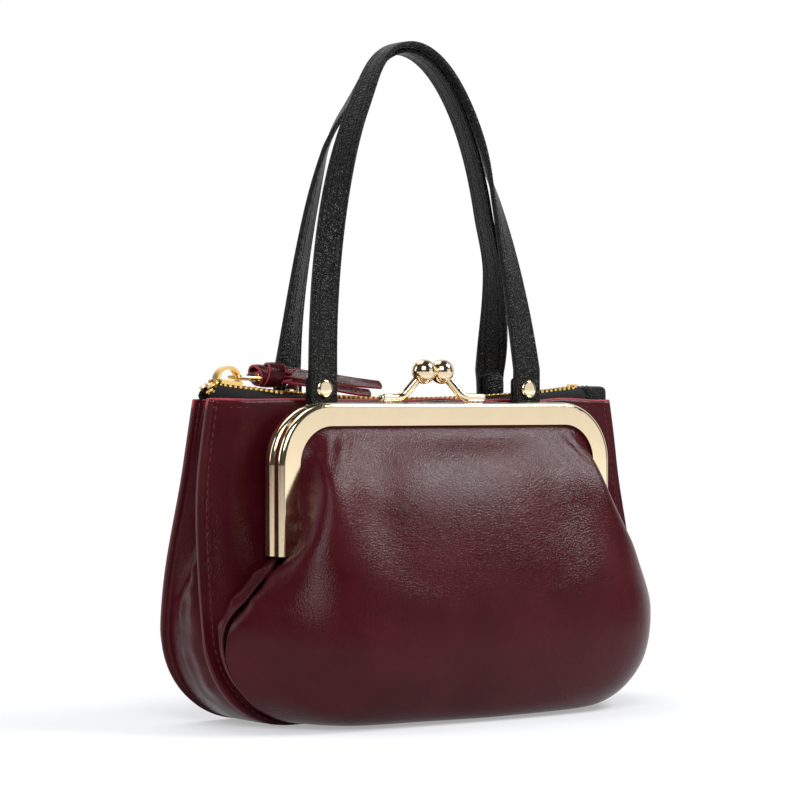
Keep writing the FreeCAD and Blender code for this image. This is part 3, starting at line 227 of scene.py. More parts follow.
# capped: the same tube with its two ends drawn to their middle points
def capped(tube):
    return np.concatenate([tube[:1].mean(1, keepdims=True).repeat(tube.shape[1], 1), tube,
                           tube[-1:].mean(1, keepdims=True).repeat(tube.shape[1], 1)])


# group: an empty shader group with its sockets; an input with no value is a vector
def group(name, inputs, outputs):
    tree = bpy.data.node_groups.new(name, "ShaderNodeTree")
    for label, value in inputs.items():
        kind = "NodeSocketVector" if value is None else "NodeSocketFloat"
        socket = tree.interface.new_socket(name=label, in_out="INPUT", socket_type=kind)
        if value is not None:
            socket.default_value = value
    for label in outputs:
        tree.interface.new_socket(name=label, in_out="OUTPUT", socket_type="NodeSocketFloat")
    return tree, tree.nodes.new("NodeGroupInput"), tree.nodes.new("NodeGroupOutput")


# add: one node with its settings and inputs; a tuple of node and output name makes a link
def add(tree, kind, settings=None, **inputs):
    node = tree.nodes.new("ShaderNode" + kind)
    for key, value in (settings or {}).items():
        setattr(node, key, value)
    for key, value in inputs.items():
        key = key.replace("_", " ")
        socket = node.inputs[int(key[1:])] if key[0] == "i" and key[1:].isdigit() else node.inputs[key]
        if isinstance(value, tuple) and len(value) == 2 and hasattr(value[0], "outputs"):
            tree.links.new(value[0].outputs[value[1]], socket)
        else:
            socket.default_value = value
    return node


# maths: one Math node, as the node and output name that a link needs
def maths(tree, operation, a, b=0.5, clamp=False):
    return add(tree, "Math", {"operation": operation, "use_clamp": clamp}, i0=a, i1=b), "Value"


# leatherGrain: warped cells give pebbles, a stretched noise folded about its middle gives fine creases,
# and a broad noise says where the finish is rubbed
def leatherGrain():
    tree, given, out = group("leatherGrain", {"Place": None, "Pebble": 700.0, "Crease": 160.0, "Crease Share": 0.5},
                             ["Height", "Rubbed"])
    place, pebble = (given, "Place"), (given, "Pebble")
    warp = add(tree, "TexNoise", Vector=place, Scale=(given, "Crease"), Detail=3.0)
    bent = add(tree, "VectorMath", {"operation": "SCALE"}, i0=(warp, "Color"), Scale=0.0022)
    moved = add(tree, "VectorMath", {"operation": "ADD"}, i0=place, i1=(bent, "Vector"))
    cells = add(tree, "TexVoronoi", {"feature": "DISTANCE_TO_EDGE"}, Vector=(moved, "Vector"), Scale=pebble)
    pits = maths(tree, "MULTIPLY", (cells, "Distance"), 3.2, True)
    long = add(tree, "Mapping", Vector=(moved, "Vector"), Scale=(1.0, 1.0, 0.45), Rotation=(0.2, 0.5, 0.3))
    lines = add(tree, "TexNoise", Vector=(long, "Vector"), Scale=(given, "Crease"), Detail=5.0, Roughness=0.62)
    folded = maths(tree, "ABSOLUTE", maths(tree, "SUBTRACT", (lines, "Fac"), 0.5))
    thin = maths(tree, "MULTIPLY", folded, 5.0, True)
    creases = maths(tree, "MULTIPLY", thin, (given, "Crease Share"))
    broad = add(tree, "TexNoise", Vector=place, Scale=26.0, Detail=3.0, Roughness=0.55)
    rubbed = add(tree, "MapRange", Value=(broad, "Fac"), From_Min=0.36, From_Max=0.66)
    tree.links.new(maths(tree, "ADD", pits, creases)[0].outputs[0], out.inputs["Height"])
    tree.links.new(rubbed.outputs["Result"], out.inputs["Rubbed"])
    return tree


# handling: a fine noise stretched one way for wiping marks, and a cloudy one for finger haze
def handling():
    tree, given, out = group("handling", {"Place": None, "Fine": 900.0, "Haze": 60.0}, ["Marks", "Cloud"])
    wiped = add(tree, "Mapping", Vector=(given, "Place"), Scale=(1.0, 0.2, 0.2))
    fine = add(tree, "TexNoise", Vector=(wiped, "Vector"), Scale=(given, "Fine"), Detail=2.0)
    haze = add(tree, "TexNoise", Vector=(given, "Place"), Scale=(given, "Haze"), Detail=3.0)
    tree.links.new(fine.outputs["Fac"], out.inputs["Marks"])
    tree.links.new(haze.outputs["Fac"], out.inputs["Cloud"])
    return tree


# twill: two sets of bands across each other, from lengths along (x) and across (y) the cloth
def twill():
    tree, given, out = group("twill", {"Place": None, "Thread": 1400.0}, ["Height", "Fleck"])
    split = add(tree, "SeparateXYZ", Vector=(given, "Place"))
    rise = maths(tree, "MULTIPLY", maths(tree, "ADD", (split, "X"), (split, "Y")), (given, "Thread"))
    fall = maths(tree, "MULTIPLY", maths(tree, "SUBTRACT", (split, "X"), (split, "Y")), (given, "Thread"))
    bands = maths(tree, "SINE", rise)
    cross = maths(tree, "SINE", maths(tree, "MULTIPLY", fall, 0.37))
    weave = maths(tree, "ADD", maths(tree, "MULTIPLY", bands, 0.35), maths(tree, "MULTIPLY", cross, 0.15))
    fleck = add(tree, "TexNoise", Vector=(given, "Place"), Scale=2600.0, Detail=2.0)
    tree.links.new(maths(tree, "ADD", weave, 0.5)[0].outputs[0], out.inputs["Height"])
    tree.links.new(fleck.outputs["Fac"], out.inputs["Fleck"])
    return tree


grainGroup, handlingGroup, twillGroup = leatherGrain(), handling(), twill()


# material: a new finish with its tree and its Principled shader
def material(name):
    made = bpy.data.materials.new(name)
    made.use_nodes = True
    tree = made.node_tree
    return made, tree, tree.nodes["Principled BSDF"]


# placed: a group set down in a finish, reading Object coordinates or the piece's own lengths
def placed(tree, kind, where="Object", **values):
    spot = add(tree, "TexCoord")
    node = tree.nodes.new("ShaderNodeGroup")
    node.node_tree = kind
    tree.links.new(spot.outputs[where], node.inputs["Place"])
    for key, value in values.items():
        node.inputs[key.replace("_", " ")].default_value = value
    return node


# mixed: two colours by a share
def mixed(tree, share, low, high):
    node = add(tree, "Mix", {"data_type": "RGBA"}, Factor=share)
    node.inputs["A"].default_value = (*low, 1)
    node.inputs["B"].default_value = (*high, 1)
    return node.outputs["Result"]


# spread: a value from 0 to 1 stretched to lie between low and high
def spread(tree, value, low, high):
    return add(tree, "MapRange", Value=value, To_Min=low, To_Max=high).outputs["Result"]


# surfaced: a colour, a roughness and the bump of a height linked to the shader
def surfaced(tree, skin, colour, rough, height, strength, distance):
    tree.links.new(colour, skin.inputs["Base Color"])
    tree.links.new(rough, skin.inputs["Roughness"])
    relief = add(tree, "Bump", Height=height, Strength=strength, Distance=distance)
    tree.links.new(relief.outputs["Normal"], skin.inputs["Normal"])


# hide: leather with its own grain, creases, rubbed tone and gloss; above a height it may take a top colour
def hide(name, dark, light, rough, pebble, crease, creaseShare, bump, specular, high=None, highFrom=(0.1325, 0.1345)):
    made, tree, skin = material(name)
    grain = placed(tree, grainGroup, Pebble=pebble, Crease=crease, Crease_Share=creaseShare)
    colour = mixed(tree, (grain, "Rubbed"), dark, light)
    if high:
        spot = add(tree, "SeparateXYZ", Vector=(add(tree, "TexCoord"), "Object"))
        above = add(tree, "MapRange", Value=(spot, "Z"), From_Min=highFrom[0], From_Max=highFrom[1])
        over = add(tree, "Mix", {"data_type": "RGBA"}, Factor=(above, "Result"))
        tree.links.new(colour, over.inputs["A"])
        over.inputs["B"].default_value = (*high, 1)
        colour = over.outputs["Result"]
    surfaced(tree, skin, colour, spread(tree, (grain, "Rubbed"), *rough), (grain, "Height"), bump, 0.0005)
    skin.inputs["Specular IOR Level"].default_value = specular
    return made


# plate: polished metal, cloudy in tone, with wiping marks in its gloss
def plate(name, low, high, rough):
    made, tree, skin = material(name)
    marks = placed(tree, handlingGroup)
    surfaced(tree, skin, mixed(tree, (marks, "Cloud"), low, high), spread(tree, (marks, "Marks"), *rough),
             (marks, "Marks"), 0.02, 0.0002)
    skin.inputs["Metallic"].default_value = 1.0
    return made


# cloth: woven threads with a flecked tone, dull all over
def cloth(name, low, high, where, thread, rough, bump):
    made, tree, skin = material(name)
    weave = placed(tree, twillGroup, where, Thread=thread)
    surfaced(tree, skin, mixed(tree, (weave, "Fleck"), low, high),
             spread(tree, (weave, "Fleck"), rough - 0.08, rough + 0.05), (weave, "Height"), bump, 0.0004)
    skin.inputs["Specular IOR Level"].default_value = 0.25
    return made


finish = {
    "burgundy": hide("burgundyLeather", (0.036, 0.0027, 0.0048), (0.051, 0.0047, 0.0074), (0.22, 0.29),
                     pebble=820.0, crease=210.0, creaseShare=0.50, bump=0.14, specular=0.13),
    "cutEdge": hide("cutEdge", (0.060, 0.0055, 0.009), (0.085, 0.009, 0.014), (0.45, 0.58),
                    pebble=900.0, crease=400.0, creaseShare=0.6, bump=0.2, specular=0.4, high=(0.36, 0.026, 0.042)),
    "redEdge": hide("redEdge", (0.24, 0.018, 0.030), (0.36, 0.032, 0.048), (0.5, 0.62),
                    pebble=900.0, crease=400.0, creaseShare=0.6, bump=0.25, specular=0.4),
    "black": hide("blackLeather", (0.0018, 0.0018, 0.0020), (0.0042, 0.0041, 0.0044), (0.28, 0.40),
                  pebble=640.0, crease=330.0, creaseShare=0.6, bump=0.7, specular=0.21),
    "gold": plate("goldPlate", (0.80, 0.65, 0.43), (0.86, 0.72, 0.51), (0.10, 0.15)),
    "brass": plate("zipBrass", (0.80, 0.52, 0.16), (0.90, 0.64, 0.26), (0.14, 0.24)),
    # dark and light tone, coordinates, threads, roughness and bump
    "tape": cloth("zipTape", (0.0045, 0.0045, 0.005), (0.013, 0.0128, 0.0132), "UV", 5200.0, 0.86, 0.5),
    "lining": cloth("liningCloth", (0.022, 0.007, 0.009), (0.036, 0.013, 0.016), "Object", 4200.0, 0.75, 0.3),
    "redThread": cloth("redThread", (0.075, 0.006, 0.011), (0.13, 0.013, 0.020), "Object", 9000.0, 0.6, 0.2),
    "blackThread": cloth("blackThread", (0.016, 0.016, 0.016), (0.030, 0.030, 0.030), "Object", 9000.0, 0.6, 0.2),
    "cord": cloth("paperCord", (0.42, 0.32, 0.20), (0.55, 0.44, 0.30), "Object", 3000.0, 0.85, 0.4),
}
# the CAD's own nodes, by finish
cadLooks = {
    "gold": ("front_frame", "rear_frame", "front_clasp", "rear_clasp", "hinge_pins"),
    "brass": ("zip_bottom_stop", "zip_top_stop_front", "zip_top_stop_rear", "zip_slider", "zip_pull_link"),
    "cord": ("front_frame_cord", "rear_frame_cord"),
}
for key, names in cadLooks.items():
    for name in names:
        nodes[name].data.materials.clear()
        nodes[name].data.materials.append(finish[key])
print("finishes ready")

# dip: depth and reach of the sewn groove; wave: slow waves all over, and more of them high up, by waveRise, and
# away from the edge, by waveIn; roll: low down, added up the left and the right side, and the heights where that
# starts and is full; the seams stop so far below the top and short of the sides, sunk a little
bag = {"mid": 24.5, "height": 136.5, "topHalf": 108.5, "flare": 8.5, "corner": 42.0, "topDepth": 10.25,
       "lowDepth": 19.0, "swellLow": 35.0, "swellTop": 110.0, "leather": 1.6, "lip": 3.0, "dip": (0.4, 0.55),
       "wave": (0.30, 0.25), "waveRise": (60, 125), "waveIn": (4, 22), "topWave": 0.25, "topWaveFrom": 118,
       "seamIn": 1.1, "seamBelow": 3, "seamTurn": 1.35, "seamSunk": 0.1, "topSeam": 133.4, "topSeamShort": 2,
       "topSeamSunk": 0.3, "rollReach": 16.0,
       "roll": {-1: (1.2, 2.8, 0.8, 15, 60), 1: (0.6, 3.2, 1.2, 60, 130)}}
lowHalf = bag["topHalf"] + bag["flare"]
hub = lowHalf - bag["corner"]  # middle of a corner's arc, out from the middle of the bag
heart = np.array([0, bag["mid"], 75])  # a point inside, for telling outward from inward


# bagHalf: half the width at a height, a parabola above the corner's top and a quarter circle below
def bagHalf(z):
    upper = lowHalf - bag["flare"] * ((z - bag["corner"]) / (bag["height"] - bag["corner"])) ** 2
    drop = np.clip(bag["corner"] - z, 0, bag["corner"])
    return np.where(z >= bag["corner"], upper, hub + np.sqrt(bag["corner"] ** 2 - drop ** 2))


# bagDepth: half the depth at a height, an S-curve from the narrow top to the deep base
def bagDepth(z):
    return bag["lowDepth"] + (bag["topDepth"] - bag["lowDepth"]) * ramp(z, bag["swellLow"], bag["swellTop"])


# edgeGap: how far a point of a panel is in from its outline
def edgeGap(x, z):
    bend = bag["corner"] - np.hypot(np.maximum(np.abs(x) - hub, 0), np.maximum(bag["corner"] - z, 0))
    return np.where((np.abs(x) > hub) & (z < bag["corner"]), bend, np.minimum(bagHalf(z) - np.abs(x), z))


# edgeRoll: how far a panel falls back near its outline, more up the left side than the right
def edgeRoll(gap, x, z, side):
    low, left, right, start, full = bag["roll"][side]
    amount = low + np.where(x < 0, left, right) * ramp(z, start, full)
    return amount * (1 - ramp(gap, 0, bag["rollReach"]))


# panelGrid: x is a share of the half width, z a height; y swells by the S-curve, dips at the sewn lip and
# has slow waves
def panelGrid(side, inset=0.0, edge=0.0, top=bag["height"], floor=0.0):
    turn = np.linspace(0, math.pi / 2, 30)
    z = np.concatenate([bag["corner"] * (1 - np.cos(turn)), np.linspace(bag["corner"], top, 52)[1:]])
    z = np.maximum(z, floor)
    s = 1 - np.linspace(0, 1, 44) ** 2.1
    s = np.concatenate([-s, s[-2::-1]])
    zz, ss = np.meshgrid(z, s, indexing="ij")
    xx = ss * (bagHalf(zz) - edge)
    gap = edgeGap(xx, zz) - edge
    deep, reach = bag["dip"]
    lip = edgeRoll(gap, xx, zz, side) + deep * np.exp(-((gap - bag["lip"]) / reach) ** 2)
    slow, more = bag["wave"]
    wave = (slow + more * ramp(zz, *bag["waveRise"])) * (1 + ripple(xx, zz, 34, 80, 14, 11 + side)) / 2
    wave = wave * ramp(gap, *bag["waveIn"])
    yy = bag["mid"] + side * (bagDepth(zz) - inset - lip - wave)
    high = zz + bag["topWave"] * ripple(xx, 0, 30, 90, 8, 21 + side) * ramp(zz, bag["topWaveFrom"], bag["height"])
    return np.stack([xx, yy, high], -1)


# panelSeam: a line of stitches so far in from the outline, and one under the top edge
def panelSeam(side):
    z = np.concatenate([np.linspace(bag["height"] - bag["seamBelow"], bag["corner"], 60),
                        bag["corner"] * (1 - np.sin(np.linspace(0, bag["seamTurn"], 30)))[1:]])
    lip = bag["lip"] + bag["seamIn"]
    rows = []
    for hand in (-1, 1):
        x = hand * (bagHalf(z) - lip)
        y = bag["mid"] + side * (bagDepth(z) - edgeRoll(lip, x, z, side) - bag["seamSunk"])
        rows.append(seam(np.stack([x, y, z], -1), rowsOf((0, side, 0), len(z))))
    x = np.linspace(-1, 1, 120) * (bag["topHalf"] - bag["topSeamShort"])
    z = np.full_like(x, bag["topSeam"])
    y = bag["mid"] + side * (bagDepth(z) - edgeRoll(bagHalf(z) - np.abs(x), x, z, side) - bag["topSeamSunk"])
    rows.append(seam(np.stack([x, y, z], -1), rowsOf((0, side, 0), len(x))))
    return rows


# fold: height, then how far in from the lips the strip lies there; it is round below and straight above "rounded"
gusset = {"leather": 1.4, "top": 136.3, "valley": -0.5, "slant": 16.0, "rounded": (58, 72), "creases": 0.3,
          "play": 0.7, "lips": (1.015, 1.03), "fold": (
              (0, -1.0), (28, -2.4), (56, -2.8), (62.5, -1.2), (67, 4.0), (78, 7.0), (98, 8.6), (116, 6.6), (129, 3.0),
              (137, 0.8))}


# gussetGrid: rows run down the left side, along the base and up the right; across each row the strip folds
# inward to a valley above and bulges outward below, by a table of depths read at a slanted height
def gussetGrid(inset=0.0, side=0.0, top=gusset["top"], lipShare=1.0):
    sideRows, bendRows = 60, 26
    low = bag["corner"] - bag["lip"]
    r = low - inset
    turn = np.linspace(0, math.pi / 2, bendRows)
    zSide = np.linspace(top, low, sideRows)
    left = np.stack([-(bagHalf(np.maximum(zSide, bag["corner"])) - bag["lip"] - inset), zSide], -1)
    corner = np.stack([-hub - r * np.cos(turn), low - r * np.sin(turn)], -1)[1:]
    base = np.stack([np.linspace(-hub, 0, bendRows), np.full(bendRows, inset)], -1)[1:]
    half = np.concatenate([left, corner, base])
    inward = np.concatenate([rowsOf((1, 0), sideRows), np.stack([np.cos(turn), np.sin(turn)], -1)[1:],
                             rowsOf((0, 1), bendRows - 1)])
    flip = np.array([-1.0, 1.0])
    path = np.concatenate([half, half[-2::-1] * flip])
    inward = np.concatenate([inward, inward[-2::-1] * flip])
    upright = np.abs(inward[:, :1])
    near, far = gusset["lips"]
    t = np.concatenate([[-far, -near], np.linspace(-1, 1, 33), [near, far]])[None]
    lip = np.zeros_like(t)
    lip[:, [0, 1, -2, -1]] = np.array([1, 0.5, 0.5, 1]) * bag["lip"] * lipShare
    z = np.maximum(path[:, 1:], 0)
    slanted = z + gusset["slant"] * t
    depth = np.interp(slanted, *zip(*gusset["fold"])) * upright ** 0.7
    v = gusset["valley"]
    rise = np.clip(np.where(t < v, (t + 1) / (v + 1), (1 - t) / (1 - v)), 0, 1)
    soft = np.sin(rise * math.pi / 2) ** 1.5
    shape = soft + (rise - soft) * ramp(slanted, *gusset["rounded"])
    away = depth * shape - lip * upright ** 1.5
    rolls = [edgeRoll(bag["lip"], path[:, :1], z, hand) for hand in (-1, 1)]
    y = t * (bagDepth(z) - bag["leather"] - gusset["play"] - np.where(t < 0, *rolls) - side)
    x = path[:, :1] + inward[:, :1] * away
    high = np.maximum(path[:, 1:] + inward[:, 1:] * away, inset)
    crease = gusset["creases"] * ripple(high, y, 7, 18, 10, 33) * shape * upright
    return np.stack([x + crease * np.sign(-x), bag["mid"] + y, high], -1)


edges = {"radius": 0.62, "panelMore": 0.2, "panelDrop": 0.25, "gussetDrop": 0.1, "sides": 10}


# bead: a thin round cord along a line that runs mostly along x or y
def bead(path, radius):
    ahead = aheadOf(path)
    up = rowsOf((0, 0, 1), len(path))
    across = unit(np.cross(up, ahead))
    turn = circle(edges["sides"])[None, :, None]
    return capped(path[:, None] + radius * (np.cos(turn) * across[:, None] + np.sin(turn) * up[:, None]))


rims = []
for side, word in bothSides:
    grid = panelGrid(side)
    piece(f"{word}Panel", [grid], "burgundy", "main_bag", [f"main_{word}_panel"], face=(0, side, 0),
          wall=bag["leather"], edge="cutEdge")
    rounded(f"{word}PanelThread", panelSeam(side), "redThread", "main_bag")
    rims.append(bead(grid[-1] + [0, -side * bag["leather"] / 2, -edges["panelDrop"]],
                     edges["radius"] + edges["panelMore"]))
grid = gussetGrid()
piece("bagGusset", [grid], "burgundy", "main_bag", ["main_gusset"], face=grid - heart, wall=gusset["leather"],
      edge="cutEdge")
for row in grid[[0, -1], 3:-3]:
    rims.append(bead(row + [-np.sign(row[0, 0]) * gusset["leather"] / 2, 0, -edges["gussetDrop"]], edges["radius"]))
rounded("topEdges", rims, "redEdge", "main_bag")

# the cuts are the flat sizes of one panel and of the strip, in metres
linings = {"inset": 2.4, "edge": 6.0, "top": 130.0, "floor": 3.0, "thick": 0.5, "stripInset": 2.2, "stripSide": 1.4,
           "panelCut": (0.223, 0.128), "stripCut": (0.0305, 0.456)}


for side, word in bothSides:
    grid = panelGrid(side, linings["inset"], linings["edge"], linings["top"], linings["floor"])
    lining = piece(f"bagLining{word.title()}", [grid], "lining", "main_bag", [f"main_lining_{word}"],
                   face=(0, -side, 0), wall=linings["thick"])
grid = gussetGrid(linings["stripInset"], linings["stripSide"], linings["top"], lipShare=0.0)
lining = piece("bagLiningGusset", [grid], "lining", "main_bag", ["main_lining_gusset"],
               face=heart - grid, wall=linings["thick"])
print("main bag sewn")

# rolled: how far up and how far over the tape has come, from its sewn edge to the teeth
zipper = {"low": 136.7, "radius": 845.126, "pitch": 2.6, "right": 94.5, "straight": -101.5, "curl": 5.2,
          "curlTurn": 1.45, "splay": 3.2, "splayFrom": 195, "sewn": 8.45, "sewnHeight": 133.0, "held": -103.0,
          "tuck": 130.5, "edge": 1.45, "rumple": 0.22, "tape": 0.8, "firstTooth": 3.2, "lastTooth": 0.5,
          "rolled": ((0, 0), (0.3, 0), (0.6, 0.02), (0.82, 0.14), (0.93, 0.42), (0.98, 0.75), (1, 1))}


# chainHeight: a wide circle's arc, lowest in the middle of the bag
def chainHeight(x):
    return zipper["low"] + zipper["radius"] - np.sqrt(zipper["radius"] ** 2 - x ** 2)


# chainPath: the toothed edge of a tape from its closed right end along the sagging arc, past the slider,
# where it parts from its twin and curls down over the end of the bag
def chainPath():
    x = np.linspace(zipper["right"], zipper["straight"], 190)
    turn = np.linspace(0, zipper["curlTurn"], 16)[1:]
    xs = np.concatenate([x, x[-1] - zipper["curl"] * np.sin(turn)])
    zs = np.concatenate([chainHeight(x), chainHeight(x[-1]) - zipper["curl"] * (1 - np.cos(turn))])
    run = np.concatenate([[0], np.cumsum(np.hypot(np.diff(xs), np.diff(zs)))])
    off = zipper["edge"] + zipper["splay"] * ramp(run, zipper["splayFrom"], run[-1])
    return xs, zs, off, run


# tapeGrid: across each row the tape stands up from its sewn edge and rolls over to the teeth
def tapeGrid(side):
    xs, zs, off, run = chainPath()
    rise, over = spline(zipper["rolled"], 18).T[:, None]
    zz = zipper["tuck"] + (zs[:, None] - zipper["tuck"]) * rise
    height = np.full_like(xs, zipper["sewnHeight"])
    sewn = zipper["sewn"] - edgeRoll(bag["topHalf"] - np.abs(xs), xs, height, side)[:, None]
    yy = sewn + (off[:, None] - sewn) * over
    stay = np.maximum(xs, zipper["held"])
    xx = stay[:, None] + (xs - stay)[:, None] * rise
    zz = zz + zipper["rumple"] * ripple(xx, yy, 9, 26, 10, 41 + side) * np.sin(np.pi * over)
    row = 60  # any row of the straight run gives the lengths across
    across = np.concatenate([[0], np.cumsum(np.hypot(np.diff(zz[row]), np.diff(yy[row])))])
    uv = np.stack(np.meshgrid(run, across, indexing="ij"), -1)
    return np.stack([xx, bag["mid"] + side * yy, zz], -1), uv


# tooth: a clamp on the tape's edge that narrows to a neck and ends in a head, as rings with a soft top edge
def tooth():
    plan = np.array([(-0.62, 3.0), (0.62, 3.0), (0.62, 1.5), (0.4, 1.1), (0.6, 0.2), (0.4, -0.75), (-0.4, -0.75),
                     (-0.6, 0.2), (-0.4, 1.1), (-0.62, 1.5)])
    middle = plan.mean(0)
    rings = [(0.0, -1.15), (0.75, -1.15), (1.0, -0.8), (1.0, 0.8), (0.75, 1.15), (0.0, 1.15)]
    return np.stack([np.column_stack([middle + (plan - middle) * grow, np.full(len(plan), z)]) for grow, z in rings])


# teethRow: teeth at equal steps along the chain, the rear row half a step on
def teethRow(side):
    xs, zs, off, _ = chainPath()
    path = np.stack([xs, bag["mid"] + side * (off - zipper["edge"]), zs], -1)
    first = zipper["firstTooth"] + (1 + side) * zipper["pitch"] / 4
    at = evenly(path, zipper["pitch"], first, zipper["lastTooth"])
    ahead = aheadOf(at)
    across = squareTo(ahead, rowsOf((0, side, 0), len(at)))
    return scatter(tooth(), at, ahead, across, np.cross(ahead, across))


for side, word in bothSides:
    grid, uv = tapeGrid(side)
    tape = piece(f"{word}Tape", [grid], "tape", None, [f"zip_tape_{word}"], face=(0, side * 0.3, 1), uv=[uv],
                 wall=zipper["tape"])
    teeth = rounded(f"{word}Teeth", [teethRow(side)], "brass", None, [f"zip_teeth_{word}"], smooth=False)
    for obj in (tape, teeth):
        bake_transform(obj)

endTab = {"middle": (101.6, bag["mid"], 136.6), "half": (7.0, 7.2, 6.3), "power": 0.34}
endSeam = {"shift": -3.2, "sunk": 0.995, "width": 0.6, "points": 60}


# bulged: a cosine or sine raised to a power with its sign kept; below one it fills out towards a box
def bulged(wave, power):
    return np.sign(wave) * np.abs(wave) ** power


# pillow: a superellipsoid, an ellipsoid with bulged cosines and sines
def pillow(middle, half, power, rows=28, cols=48):
    v, u = np.meshgrid(np.linspace(-math.pi / 2, math.pi / 2, rows), circle(cols), indexing="ij")
    cosV, sinV, cosU, sinU = (bulged(w, power) for w in (np.cos(v), np.sin(v), np.cos(u), np.sin(u)))
    return np.array(middle) + np.stack([half[0] * cosV * cosU, half[1] * cosV * sinU, half[2] * sinV], -1)


rounded("zipEndTab", [pillow(**endTab)], "black", "main_bag", ["zip_end_tab"])
turn = np.linspace(math.pi, 0, endSeam["points"])
bow = np.stack([0 * turn, bulged(np.cos(turn), endTab["power"]), np.sin(turn) ** endTab["power"]], -1)
over = np.array(endTab["middle"]) + [endSeam["shift"], 0, 0] + bow * endTab["half"] * endSeam["sunk"]
rounded("zipEndTabThread", [seam(over, unit(bow), width=endSeam["width"])], "blackThread", "main_bag")
print("zip closed")

# flat and round: points across a face and round an edge; the sewn and creased grooves have a place and a depth;
# the last bit of an end, tip, thins to tipThin
band = {"flat": 61, "round": 7, "sewn": 0.5, "sewnDeep": 0.28, "creased": 0.86, "creasedDeep": 0.22,
        "grooveWidth": 0.035, "crown": 0.12, "hollow": 0.07, "bevel": 0.42, "bevelMost": 0.9, "lip": 0.6,
        "turnIn": 0.1, "tip": 0.8, "tipThin": 0.55}


# ribbon: a strap of given width and thickness carried along a path; wide and face are unit vectors there, and
# the outline is a rounded bar with two sewn grooves and two edge creases in each face
def ribbon(path, wide, face, width, thick, grooves=True, ends=3.0, closed=False, thin=1.0):
    run = lengthAlong(path)
    left = np.minimum(run, run[-1] - run) + closed * 1e3  # a closed band is far from any end
    trim = np.where(left < ends, ends - np.sqrt(np.maximum(ends ** 2 - (ends - left) ** 2, 0)), 0)
    half = (width / 2 - trim)[:, None]
    bevel = min(thick * band["bevel"], band["bevelMost"])
    a = np.linspace(-1, 1, band["flat"])
    pairs = ((band["sewn"], band["sewnDeep"]), (band["creased"], band["creasedDeep"]))
    dip = sum(deep * np.exp(-((np.abs(a) - at) / band["grooveWidth"]) ** 2) for at, deep in pairs)
    outer = thick / 2 - band["crown"] * a ** 2 - dip * grooves
    corner = np.linspace(0, math.pi, band["round"] + 2)[1:-1]
    lip, turned = np.sin(corner) * bevel * band["lip"], np.cos(corner) * (thick / 2 - band["turnIn"])
    over = np.concatenate([a, np.ones(band["round"]), a[::-1], -np.ones(band["round"])])
    out = np.concatenate([0 * a, lip, 0 * a, lip])
    high = np.concatenate([outer, turned, band["hollow"] * a ** 2 - outer, -turned])
    across = over[None] * (half - bevel * band["lip"]) + np.sign(over)[None] * out[None]
    thinned = band["tipThin"] + (1 - band["tipThin"]) * np.minimum(left / band["tip"], 1)
    shrink = (thin * thinned)[:, None]
    return path[:, None] + across[..., None] * wide[:, None] + (high[None] * shrink)[..., None] * face[:, None]


# lean, nest and the tops say how the two loops come together; width: height and width there; turns: height, then
# how far the left and the right leg have turned from the panel's way to straight out
handle = {
    "spacing": 55.5, "base": 150.0, "tail": 114.6, "top": 293.0, "depth": 13.35, "tops": {-1: 26.0, 1: 29.2},
    "lateLean": 1.8, "earlyLean": {-1: 2.0, 1: 3.5}, "nest": 2.75, "nestLeft": (0.70, 0.90), "nestRight": (0.30, 0.50),
    "drawnIn": 2.8, "drawnTo": 0.66, "drawnPower": 0.8, "arch": 1.25, "archEase": 0.2, "archEased": (0.8, 1.0),
    "width": ((150, 14.0), (215, 12.0), (255, 10.8)), "thick": 3.0, "thinned": 0.2, "thinBy": 215, "legRows": 25,
    "archRows": 190, "smooth": 7,
    "turns": {-1: ((114, 0, 0), (150, 0, 0), (170, 4, 4), (182, 9, 9), (204, 20, 22), (228, 37, 44), (240, 48, 64),
                   (254, 60, 80), (280, 82, 88), (293, 90, 90)),
              1: ((114, 0, 0), (143, 0, 0), (151, 10, 16), (160, 18, 38), (170, 24, 60), (186, 29, 80), (206, 33, 90),
                  (228, 40, 90), (246, 54, 90), (264, 74, 90), (293, 90, 90))}}


